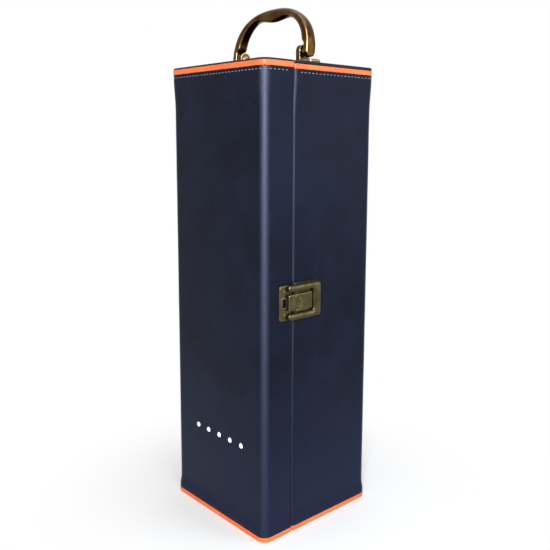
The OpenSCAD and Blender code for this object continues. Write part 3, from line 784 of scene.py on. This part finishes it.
def leatherOut(half, z):
    # how far the leather stands out from its plain face, with the hem's rounded edge
    side = halves[half]
    edge = leatherShape["edge"]
    out = hemSwell(half, z)
    nearest = min(side["high"] - z, z - side["low"])
    if nearest < edge:
        t = 1 - nearest / edge
        out -= edge * (1 - math.sqrt(max(1 - t * t, 0)))
    depth, width = leatherShape["groove"]
    return out - depth * math.exp(-((side["high"] - stitching["down"] - z) / width) ** 2)


def wrapLevels(half):
    low, high, roof = (halves[half][key] for key in ("low", "high", "roof"))
    ends = [0, 0.05, 0.15, 0.3, 0.45, 0.9, 1.5, 2.4, 3.4, 5, 7, 9, 12, 15, 19, 23, 28, 34]
    levels = [low + e for e in ends] + [high - e for e in ends]
    lip = [leatherShape["lip"] * t for t in leatherShape["lipSteps"]]
    levels += [openingFloor - t for t in lip] + [roof + t for t in lip]
    row = high - stitching["down"]
    levels += [row + t for t in (-1.1, -0.7, -0.4, -0.2, 0, 0.2, 0.4, 0.7, 1.1)]
    levels += list(np.linspace(low + ends[-1], high - ends[-1], 46))
    levels.sort()
    kept = [levels[0]]
    for z in levels[1:]:
        if z - kept[-1] > leatherShape["leastStep"]:
            kept.append(z)
        elif z in (openingFloor, roof):
            kept[-1] = z
    return kept


def wrapLoop(half, z):
    # the leather's outer face at one height, rippled, and rounded round the opening
    side = halves[half]
    lip = leatherShape["lip"]
    height, length = leatherShape["ripple"]
    loop, away = planLoop(half, leatherOut(half, z), seamRadius(half, z))
    points = atHeight(loop, z)
    start, grow = leatherShape["calmEnds"]
    calm = smooth((min(side["high"] - z, z - side["low"]) - start) / grow)
    start, grow = leatherShape["calmSeam"]
    for point, way in zip(points, away):
        back = abs(point[1] - side["seam"])
        if back < 0.001 and abs(way[0]) < 0.001:
            over = max(openingFloor - z, z - side["roof"], 0)
            gap = math.hypot(max(abs(point[0]) - openingHalf, 0), over)
            if gap < lip:
                point[1] += side["back"] * (lip - math.sqrt(max(lip * lip - (lip - gap) ** 2, 0)))
        else:
            wave = height * noise.noise(Vector(point / length)) * calm * smooth((back - start) / grow)
            point[:2] += way * (wave - height * 0.5 * calm)
    return points


def leatherWrap(half):
    shape = leatherShape
    levels = wrapLevels(half)
    outer = [wrapLoop(half, z) for z in levels]
    radius = max(shape["seamCorner"][half] - shape["turnIn"], 0.2)
    inside, _ = planLoop(half, hem - shape["under"], radius, shape["turnIn"])
    inner = [atHeight(inside, z) for z in levels]
    rows, columns = len(levels), len(inside)
    total = 2 * rows
    rim = len(shape["seamColumns"])  # column at the edge of the opening
    first, last = levels.index(openingFloor), levels.index(halves[half]["roof"])
    faces = []
    for i in range(total):
        j = (i + 1) % total
        level = i if i < rows - 1 else total - 2 - i
        inOpening = first <= level < last and i not in (rows - 1, total - 1)
        for k in range(columns):
            if inOpening and (k < rim or k >= columns - rim):
                continue
            n = (k + 1) % columns
            faces.append((i * columns + k, i * columns + n, j * columns + n, j * columns + k))

    def under(i, k):
        return (total - 1 - i) * columns + k

    # the leather's cut edge round the opening
    for i in range(first, last):
        for k in (rim, columns - rim):
            faces.append((i * columns + k, (i + 1) * columns + k, under(i + 1, k), under(i, k)))
    for i in (first, last):
        for k in (*range(rim), *range(columns - rim, columns)):
            n = (k + 1) % columns
            faces.append((i * columns + k, i * columns + n, under(i, n), under(i, k)))
    points = np.concatenate(outer + inner[::-1])
    piece = addPiece(half + "Leather", points, faces, half + "_leather_wrap")
    paintCornerSheen(piece.data, half)


def paintCornerSheen(mesh, half):
    # upright corners get a painted highlight along their middle, where they face diagonally: a soft
    # band, and a line that fades downwards; it is weaker near the seam, most of all on the door
    points, normals = readMesh(mesh)
    middle = 2 * np.abs(normals[:, 0] * normals[:, 1])
    height = points[:, 2] / halves[half]["high"]
    softWidth, softLow, softHigh = leatherShape["softRub"]
    lineWidth, lineLevel = leatherShape["lineRub"]
    level = (softLow + (softHigh - softLow) * height) * middle ** softWidth
    level += lineLevel * middle ** lineWidth * height ** leatherShape["rubFade"]
    nearSeam = np.abs(points[:, 1] - halves[half]["seam"]) < leatherShape["seamReach"]
    level = np.where(nearSeam, level * leatherShape["seamRub"][half], level)
    mesh.attributes["edge"].data.foreach_set("value", level.astype(np.float32))


def stitchRow(half):
    shape = stitching
    side = halves[half]
    z = side["high"] - shape["down"]
    loop, away = planLoop(half, leatherOut(half, z), seamRadius(half, z))
    seated = [k for k in range(len(loop)) if abs(loop[k][1] - side["seam"]) > 1.0]
    path, away = loop[seated], away[seated]
    lengths = np.concatenate([[0], np.cumsum(np.linalg.norm(np.diff(path, axis=0), axis=1))])
    count = int((lengths[-1] - 2 * shape["startGap"]) / shape["pitch"])
    start = (lengths[-1] - (count - 1) * shape["pitch"]) / 2
    spin = np.linspace(0, 2 * np.pi, shape["sides"], endpoint=False)

    def along(curve, s):
        return np.array([np.interp(s, lengths, curve[:, a]) for a in (0, 1)])

    points, faces = [], []
    for i in range(count):
        faces += tubeFaces(len(shape["form"]), shape["sides"], len(points))
        for t, fat, lift in shape["form"]:
            s = start + i * shape["pitch"] + t * shape["length"] / 2
            middle, outward = along(path, s), along(away, s)
            outward /= np.linalg.norm(outward)
            r = shape["thick"] / 2 * fat
            slant = shape["slant"] * t  # each stitch leans a little
            for a in spin:
                flat = middle + outward * (lift * shape["rise"] + r * math.cos(a))
                points.append((flat[0], flat[1], z + slant + r * math.sin(a)))
    addPiece(half + "Stitches", points, faces, half + "_leather_wrap", replaced=False,
             finish=threadFinish)


for half in halves:
    leatherWrap(half)
    stitchRow(half)
print("leather and stitching ready")

bandShape = {
    "proud": 0.2,
    "round": 0.55,
    "crown": 0.06,
    "innerCorner": 0.8,
    "follow": 0.5,
}
capShape = {
    "round": 1.1,
    "dip": 0.05,
    "dipLength": 14.0,
    "rings": (0.97, 0.93, 0.85, 0.72, 0.56, 0.4, 0.22),
}


def band(source, half):
    low, high = measure(source)
    shape = bandShape
    top, r = hem + shape["proud"], shape["round"]
    profile = []
    for t in np.radians(np.linspace(0, 90, 6)):
        profile.append((top - r * (1 - math.sin(t)) - shape["crown"], low[2] + r * (1 - math.cos(t))))
    middle = (low[2] + high[2]) / 2
    profile.append((top, middle))
    profile += [(out, 2 * middle - z) for out, z in profile[-2::-1]]
    loops = []
    for out, z in profile:
        loop, _ = planLoop(half, out, seamRadius(half, z) + (out - top) * shape["follow"])
        loops.append(atHeight(loop, z))
    loop, _ = planLoop(half, hem - leatherShape["under"], shape["innerCorner"], leatherShape["turnIn"])
    loops += [atHeight(loop, z) for z in (high[2], low[2])]
    faces = gridFaces(len(loops), len(loop), closeRows=True)
    addPiece(joined(source), np.concatenate(loops), faces, source)


def cap(source, half):
    low, high = measure(source)
    shape = capShape
    r = min(shape["round"], high[2] - low[2] - 0.1)
    levels = [(0.0, low[2]), (0.0, (low[2] + high[2] - r) / 2)]
    for t in np.radians(np.linspace(0, 90, 8)):
        levels.append((r * (1 - math.cos(t)), high[2] - r + r * math.sin(t)))
    loops = []
    for inset, z in levels:
        loop, _ = planLoop(half, hem - inset, seamRadius(half, z), inset)
        loops.append(atHeight(loop, z))
    edge = loops[-1]
    centre = (edge.min(0) + edge.max(0)) / 2
    for share in shape["rings"]:
        loop = centre + (edge - centre) * share
        for p in loop:
            sag = noise.noise(Vector(p / shape["dipLength"])) - 1
            p[2] += shape["dip"] * sag * smooth((1 - share) * 8)
        loops.append(loop)
    rows, columns = len(loops), len(edge)
    tips = [centre - [0, 0, shape["dip"]], (*centre[:2], low[2])]
    faces = gridFaces(rows, columns)
    faces += fanFaces(range((rows - 1) * columns, rows * columns), rows * columns)
    faces += fanFaces(range(columns), rows * columns + 1)
    addPiece(joined(source), np.concatenate([*loops, tips]), faces, source, finish=capFinish)


for half in halves:
    band(half + "_top_band", half)
    band(half + "_foot_band", half)
    cap(half + "_top_cap", half)
print("bands and caps ready")

handleShape = {
    "halfWidth": 42.6,
    "rise": 34.3,
    "fullness": 2.32,
    "legThick": 5.2,
    "legStout": 7.3,  # above the brackets' ears
    "stoutFrom": (5.2, 9.5),  # height over the pivot, over which the legs grow
    "legWide": 9.1,
    "gripWide": 7.0,
    "swell": 4.7,
    "swellHalf": 25.0,
    "legSquare": 3.6,
    "gripSquare": 2.0,
    "lean": 5.7,
    "endEase": 0.22,
    "sides": 56,
    "rings": 121,
    "endRings": 13,
}


def power(value, p):
    return math.copysign(abs(value) ** p, value)


def archPoint(a):
    across, up = (power(value, 2 / handleShape["fullness"]) for value in (math.cos(a), math.sin(a)))
    return np.array([handleShape["halfWidth"] * across, handleShape["rise"] * up])


def handleRing(middle, inward, halfThick, halfWide, square):
    ring = []
    for b in np.linspace(0, 2 * np.pi, handleShape["sides"], endpoint=False):
        q = middle - inward * halfThick * power(math.cos(b), 2 / square)
        ring.append((q[0], halfWide * power(math.sin(b), 2 / square), q[1]))
    return ring


def legEnd(way):
    # the round end of a leg, from its tip upwards
    shape = handleShape
    rings = []
    for t in np.radians(np.linspace(88, 8, shape["endRings"])):
        down = shape["legWide"] / 2 * math.sin(t)
        wide = shape["legWide"] / 2 * math.cos(t)
        thick = shape["legThick"] / 2 * (1 - shape["endEase"] * math.sin(t) ** 4)
        middle = np.array([way * (shape["halfWidth"] - shape["legThick"] / 2), -down])
        rings.append(handleRing(middle, np.array([-way, 0.0]), thick, wide, shape["legSquare"]))
    return rings


def makeHandle():
    shape = handleShape
    rings = legEnd(1.0)
    for a in np.linspace(0, math.pi, shape["rings"]):
        edge = archPoint(a)
        ahead = archPoint(min(a + 0.01, math.pi)) - archPoint(max(a - 0.01, 0))
        ahead /= np.linalg.norm(ahead)
        inward = np.array([-ahead[1], ahead[0]])
        grip = math.sin(a) ** 2
        bell = math.cos(math.pi / 2 * min(abs(edge[0]) / shape["swellHalf"], 1)) ** 2
        low, high = shape["stoutFrom"]
        stout = smooth((edge[1] - low) / (high - low)) * (1 - grip)
        thick = (shape["legThick"] + (shape["legStout"] - shape["legThick"]) * stout) / 2
        thick += shape["swell"] / 2 * bell
        wide = (shape["legWide"] * (1 - grip) + shape["gripWide"] * grip) / 2
        square = shape["legSquare"] * (1 - grip) + shape["gripSquare"] * grip
        rings.append(handleRing(edge + inward * thick, inward, thick, wide, square))
    rings += legEnd(-1.0)[::-1]
    points = np.concatenate(rings)
    lean = math.radians(shape["lean"])
    y, z = points[:, 1].copy(), points[:, 2].copy()
    points[:, 1] = y * math.cos(lean) + z * math.sin(lean)
    points[:, 2] = -y * math.sin(lean) + z * math.cos(lean) + middleOf("handle_pins", 2)
    addPiece("handleArch", points, tubeFaces(len(rings), shape["sides"]), "handle")


makeHandle()
print("handle ready")

# cast and stamped metal gets one smooth skin round its form
castings = {  # grid size and smoothing passes
    "handle_bracket_left": (0.13, 8),
    "handle_bracket_right": (0.13, 8),
    "handle_pins": (0.11, 5),
    "upper_hinge_case_leaf": (0.13, 3),
    "lower_hinge_case_leaf": (0.13, 3),
    "upper_hinge_door_leaf": (0.13, 3),
    "lower_hinge_door_leaf": (0.13, 3),
    "latch_frame": (0.16, 6),
    "strike_plate": (0.1, 5),
    "latch_lever": (0.09, 4),
    "latch_hook": (0.09, 4),
}


def castMesh(mesh, source):
    grid, passes = castings[source]
    raw = addObject(source + "Raw", mesh)
    remesh = raw.modifiers.new("remesh", "REMESH")
    remesh.mode = "VOXEL"
    remesh.voxel_size = grid
    ease = raw.modifiers.new("ease", "SMOOTH")
    ease.factor = 0.5
    ease.iterations = passes
    view = bpy.context.evaluated_depsgraph_get()
    solid = bpy.data.meshes.new_from_object(raw.evaluated_get(view))
    solid.transform(Matrix.Scale(mm, 4))
    bpy.data.objects.remove(raw)
    name = joined(source)
    dressPiece(addObject(name[0].lower() + name[1:] + "Cast", solid), source)


def copyNode(source):
    mesh = frame["nodes"][source].data.copy()
    mesh.transform(Matrix.Scale(1 / mm, 4))
    return mesh


latchFrameShape = {
    "reach": 6.9,  # of the two arms past the seam, over the strike plate
    "armUnder": 1.6,  # underside of the arms, out from the leather
    "recess": (15.4, 17.2),  # height and end
    "recessCorner": 1.4,
    "armEnd": 0.98,
    "corner": 3.0,
    "round": 2.5,  # rounding of the bars, across and in height
    "drop": 2.1,
    "insets": (0, 0.08, 0.25, 0.5, 0.8, 1.15, 1.55, 2.0, 2.45),  # steps of that rounding
    "flange": 0.5,  # how far the base plate shows round the bars
    "flangeThick": 1.0,
    "seamGap": 0.4,
}


def arc(cx, cy, r, start, end):
    turn = np.radians(np.linspace(start, end, 9))
    return [(cx + r * math.cos(t), cy + r * math.sin(t)) for t in turn]


def frameOutline(inset, armX, length, half):
    # the U of the frame's bars, set in by a distance
    shape = latchFrameShape
    slotHalf = shape["recess"][0] / 2 + inset
    slotEnd = shape["recess"][1] + inset
    left, right, top = armX + inset, length - inset, half - inset
    end = (top - slotHalf) / 2 * shape["armEnd"]
    r = max(shape["corner"] - inset, 0.3)
    s = shape["recessCorner"] + inset
    upper = arc(slotEnd - s, slotHalf - s, s, 0, 90)
    upper += [(x, slotHalf) for x in np.linspace(slotEnd - s, left + end, 26)[1:-1]]
    upper += arc(left + end, slotHalf + end, end, 270, 180)
    upper += arc(left + end, top - end, end, 180, 90)
    upper += [(x, top) for x in np.linspace(left + end, right - r, 30)[1:-1]]
    upper += arc(right - r, top - r, r, 90, 0)
    return upper + [(x, -y) for x, y in upper[::-1]]


def stack(loops, heights):
    # closed solid through outlines of equal length
    points = [(x, y, h) for loop, h in zip(loops, heights) for x, y in loop]
    return points, tubeFaces(len(loops), len(loops[0]))


def frameMesh():
    shape = latchFrameShape
    low, high = measure("latch_frame")
    seamY = (halves["case"]["seam"] + halves["door"]["seam"]) / 2
    length, half = high[1] - seamY, (high[2] - low[2]) / 2
    middle = (low[2] + high[2]) / 2
    heights = []
    for inset in shape["insets"]:
        t = 1 - inset / shape["round"]
        heights.append(high[0] - faceX - shape["drop"] * (1 - math.sqrt(max(1 - t * t, 0))))
    insets = (0.15, 0) + shape["insets"]
    bars = [frameOutline(inset, -shape["reach"], length, half) for inset in insets]
    solids = [stack(bars, [shape["armUnder"], shape["armUnder"] + 0.15] + heights)]
    riser = frameOutline(0.02, shape["seamGap"], length, half)
    solids.append(stack([riser, riser], [0.4, shape["armUnder"] + 0.5]))
    base = []
    for inset in (0.35, 0.1, 0.0, 0.05, 0.2, 0.45):
        edge = shape["flange"] - inset
        x0, x1, y1 = shape["seamGap"], length + edge, half + edge
        r = shape["corner"] + edge
        corners = arc(x1 - r, -y1 + r, r, 270, 360) + arc(x1 - r, y1 - r, r, 0, 90)
        base.append([(x0, 0), (x0, -y1)] + corners + [(x0, y1)])
    thick = shape["flangeThick"]
    solids.append(stack(base, [0, 0.25, 0.45, thick - 0.3, thick - 0.1, thick]))
    points, faces = gather(solids)
    points = [(faceX + h, seamY + x, middle + y) for x, y, h in points]
    return formMesh("latchFrameForm", points, faces)


for source in castings:
    castMesh(frameMesh() if source == "latch_frame" else copyNode(source), source)
print("castings ready")

fixings = {
    "screwHead": 1.7,
    "screwDome": 0.16,
    "screwShank": 1.0,
    "screwSides": 40,
    "threadDepth": 0.22,
    "threadPitch": 0.9,
    "threadStep": 0.15,
    "crossWide": 0.26,
    "crossLong": 1.05,
    "crossDeep": 0.75,
    "crossEase": (0.12, 0.25),  # across and along a bar of the cross
    "nailHead": 1.3,
    "nailDome": {"strike_nails": 0.6, "latch_frame_nails": 0.5},
    "nailShank": 0.6,
    "studHead": 2.0,
    "studDome": 1.1,
    "tip": 0.3,
    "footTurn": (0.6, 1.3),  # radians: the first cross, then each step
    "hingeTurn": (0.4, 0.9),
    "sharp": 50,  # degrees
}

# x axis, y axis and outward axis where nails and studs sit
outLatch = ((0, 1, 0), (0, 0, 1), (1, 0, 0))
outFront = ((1, 0, 0), (0, 0, 1), (0, -1, 0))


def crossRecess(x, y, z):
    shape = fixings
    easeAcross, easeAlong = shape["crossEase"]
    bar = 0.0
    for across, along in ((abs(x), abs(y)), (abs(y), abs(x))):
        inside = smooth((shape["crossWide"] - across) / easeAcross)
        inside *= smooth((shape["crossLong"] - along) / easeAlong)
        bar = max(bar, inside * (1 - 0.5 * along / shape["crossLong"]))
    return -shape["crossDeep"] * bar if z > -0.05 else 0.0


def screwPart(length):
    shape = fixings
    head, shank, depth = shape["screwHead"], shape["screwShank"], shape["threadDepth"]
    neck = shank - head
    profile = [(0, shape["screwDome"])]
    for r in np.linspace(0.04, head - 0.08, 26):
        profile.append((r, shape["screwDome"] * (1 - (r / head) ** 2)))
    profile += [(head - 0.02, -0.02), (head - 0.03, -0.1), (shank, neck)]
    for z in np.arange(neck - 0.15, -length + 1.0, -shape["threadStep"]):
        profile.append((shank - depth * 0.5, z))
    profile += [(0.35, -length + 0.25), (0, -length)]
    points, faces = turned(profile, shape["screwSides"], crossRecess)
    for p in points:
        r = math.hypot(p[0], p[1])
        if -length + 0.9 < p[2] < neck - 0.1 and r > 0.3:
            winding = math.atan2(p[1], p[0]) / (2 * math.pi) + p[2] / shape["threadPitch"]
            ridge = abs((winding % 1.0) - 0.5) * 2
            p[:2] *= 1 + depth * (ridge - 0.5) / r
    return points, faces


def domedPart(r, height, length, steps=14, sides=48):
    # a domed head on a plain shank
    shank = fixings["nailShank"]
    ball = (r * r + height * height) / (2 * height)
    profile = [(0, height)]
    for t in np.linspace(0, math.asin(min(r / ball, 1.0)), steps)[1:]:
        profile.append((ball * math.sin(t), height - ball + ball * math.cos(t)))
    profile[-1] = (r - 0.02, 0.07)
    profile += [(r, 0.02), (r - 0.05, -0.02), (shank, -0.02), (shank, -length)]
    return turned(profile + [(0, -length - fixings["tip"])], sides)


def addFixings(name, part, places, source):
    points, faces = repeated(part, places)
    addPiece(name, points, faces, source, sharp=fixings["sharp"])


def footScrews():
    low, high = measure("handle_screws")
    x, y = high[:2] - fixings["screwHead"]
    first, step = fixings["footTurn"]
    places = []
    for k, (sx, sy) in enumerate([(-1, -1), (-1, 1), (1, -1), (1, 1)]):
        spin = first + step * k
        ax = (math.cos(spin), math.sin(spin), 0)
        ay = (-math.sin(spin), math.cos(spin), 0)
        places.append(((sx * x, sy * y, high[2]), ax, ay, (0, 0, 1)))
    addFixings("footScrews", screwPart(high[2] - low[2]), places, "handle_screws")


def hingeScrews(name, source):
    low, high = measure(source)
    leaves = [middleOf(level + "_hinge_case_leaf", 2) for level in ("lower", "upper")]
    gap = leaves[0] - (low[2] + fixings["screwHead"])
    first, step = fixings["hingeTurn"]
    places = []
    for k, z in enumerate([leaf + way * gap for leaf in leaves for way in (-1, 1)]):
        spin = first + step * k
        ay = (0, math.cos(spin), math.sin(spin))
        az = (0, -math.sin(spin), math.cos(spin))
        places.append(((low[0], middleOf(source, 1), z), ay, az, (-1, 0, 0)))
    addFixings(name, screwPart(high[0] - low[0]), places, source)


def nails(name, source):
    low, high = measure(source)
    r, height = fixings["nailHead"], fixings["nailDome"][source]
    seat = high[0] - height
    places = [((seat, middleOf(source, 1), z), *outLatch) for z in (low[2] + r, high[2] - r)]
    addFixings(name, domedPart(r, height, seat - low[0] - fixings["tip"]), places, source)


def studs():
    low, high = measure("door_studs")
    r, height = fixings["studHead"], fixings["studDome"]
    seat, z = low[1] + height, middleOf("door_studs", 2)
    places = [((x, seat, z), *outFront) for x in np.linspace(low[0] + r, high[0] - r, 5)]
    part = domedPart(r, height, high[1] - seat - fixings["tip"], 20, 64)
    addFixings("studs", part, places, "door_studs")


footScrews()
hingeScrews("hingeCaseScrews", "hinge_case_screws")
hingeScrews("hingeDoorScrews", "hinge_door_screws")
nails("strikeNails", "strike_nails")
nails("frameNails", "latch_frame_nails")
studs()
print("fixings ready")

# flocked lining and cradles keep their own solids, with eased edges
flockEdge = {"case_lining": 0.35, "door_lining": 0.35, "bottle_cradle": 1.2, "neck_cradle": 1.2}
for source, width in flockEdge.items():
    solid = frame["nodes"][source]
    weld = solid.modifiers.new("weld", "WELD")
    weld.merge_threshold = 0.002 * mm
    ease = solid.modifiers.new("ease", "BEVEL")
    ease.width = width * mm
    ease.segments = 3
    ease.limit_method = "ANGLE"
    ease.angle_limit = math.radians(40)
print("lining ready")

stageLook = {
    "sky": 0.38,  # light from all round on matt surfaces
    "floorTone": 0.95,
    "floorFade": (0.02, 0.2),  # metres over which it turns plain white
    "floorHalf": 4.0,
    "floorLow": -0.02 * mm,
}
lamps = {  # place, target, size, power, colour, and whether matt and glossy surfaces see it
    "glint": ((0.60, -0.64, 0.50), (0.05, -0.05, 0.29), (0.15, 0.42), 7.4),
    "key": ((1.0, -0.32, 0.8), (0, 0, 0.2), (0.45, 0.45), 2.6),
    "cool": ((1.1, 0.75, 0.5), (0, 0, 0.17), (0.7, 0.9), 7.0, (0.72, 0.84, 1.0)),
    "foot": ((0.55, -0.48, 0.06), (0, 0, 0.05), (0.4, 0.1), 2.4, (0.8, 0.88, 1.0), True, False),
    "ridge": ((0.42, -0.57, 0.86), (0.04, 0, 0.37), (0.16, 0.5), 5.0, (1.0, 1.0, 1.0), False),
    "top": ((0.1, 0.2, 1.6), (0, 0, 0.2), (1.2, 1.2), 4.4),
}


def whiteForEye(tree):
    # 1 where the ray comes from the camera, a mirror or glass
    path = node(tree, "LightPath")
    seen = maths(tree, "ADD", path.outputs["Is Camera Ray"], path.outputs["Is Glossy Ray"])
    return maths(tree, "ADD", seen, path.outputs["Is Transmission Ray"], clamp=True)


def makeWorld():
    world = bpy.data.worlds.new("studio")
    bpy.context.scene.world = world
    tree = emptyTree(world)
    sky = stageLook["sky"]
    strength = maths(tree, "ADD", maths(tree, "MULTIPLY", whiteForEye(tree), 1 - sky), sky)
    glow = node(tree, "Background", Color=(1.0, 1.0, 1.0, 1.0), Strength=strength)
    node(tree, "OutputWorld", Surface=glow.outputs[0])


def makeFloor():
    half, low, grey = (stageLook[key] for key in ("floorHalf", "floorLow", "floorTone"))
    corners = ((-half, -half), (half, -half), (half, half), (-half, half))
    mesh = bpy.data.meshes.new("floor")
    mesh.from_pydata([(x, y, low) for x, y in corners], [], [(0, 1, 2, 3)])
    material = bpy.data.materials.new("paleFloor")
    tree = emptyTree(material)
    matt = node(tree, "BsdfDiffuse", Color=(grey, grey, grey, 1.0))
    glow = node(tree, "Emission", Color=(1.0, 1.0, 1.0, 1.0), Strength=1.0)
    far = vectorMaths(tree, "LENGTH", node(tree, "TexCoord").outputs["Object"])["Value"]
    share = maths(tree, "MULTIPLY", remap(tree, far, *stageLook["floorFade"]), whiteForEye(tree))
    mixed = inOrder(tree, "MixShader", None, share, matt.outputs[0], glow.outputs[0])[0]
    node(tree, "OutputMaterial", Surface=mixed)
    mesh.materials.append(material)
    floor = addObject("floor", mesh)
    floor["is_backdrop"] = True


def softbox(name, place, target, size, power, colour=(1.0, 1.0, 1.0), matt=True, gloss=True):
    lamp = bpy.data.lights.new(name, "AREA")
    lamp.shape = "RECTANGLE"
    lamp.size, lamp.size_y = size
    lamp.energy = power
    lamp.color = colour
    holder = addObject(name, lamp)
    holder.location = place
    holder.visible_diffuse = matt
    holder.visible_glossy = gloss
    holder.rotation_euler = (Vector(target) - Vector(place)).to_track_quat("-Z", "Y").to_euler()


makeWorld()
makeFloor()
for name, lamp in lamps.items():
    softbox(name, *lamp)
print("light and floor ready")

low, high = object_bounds()
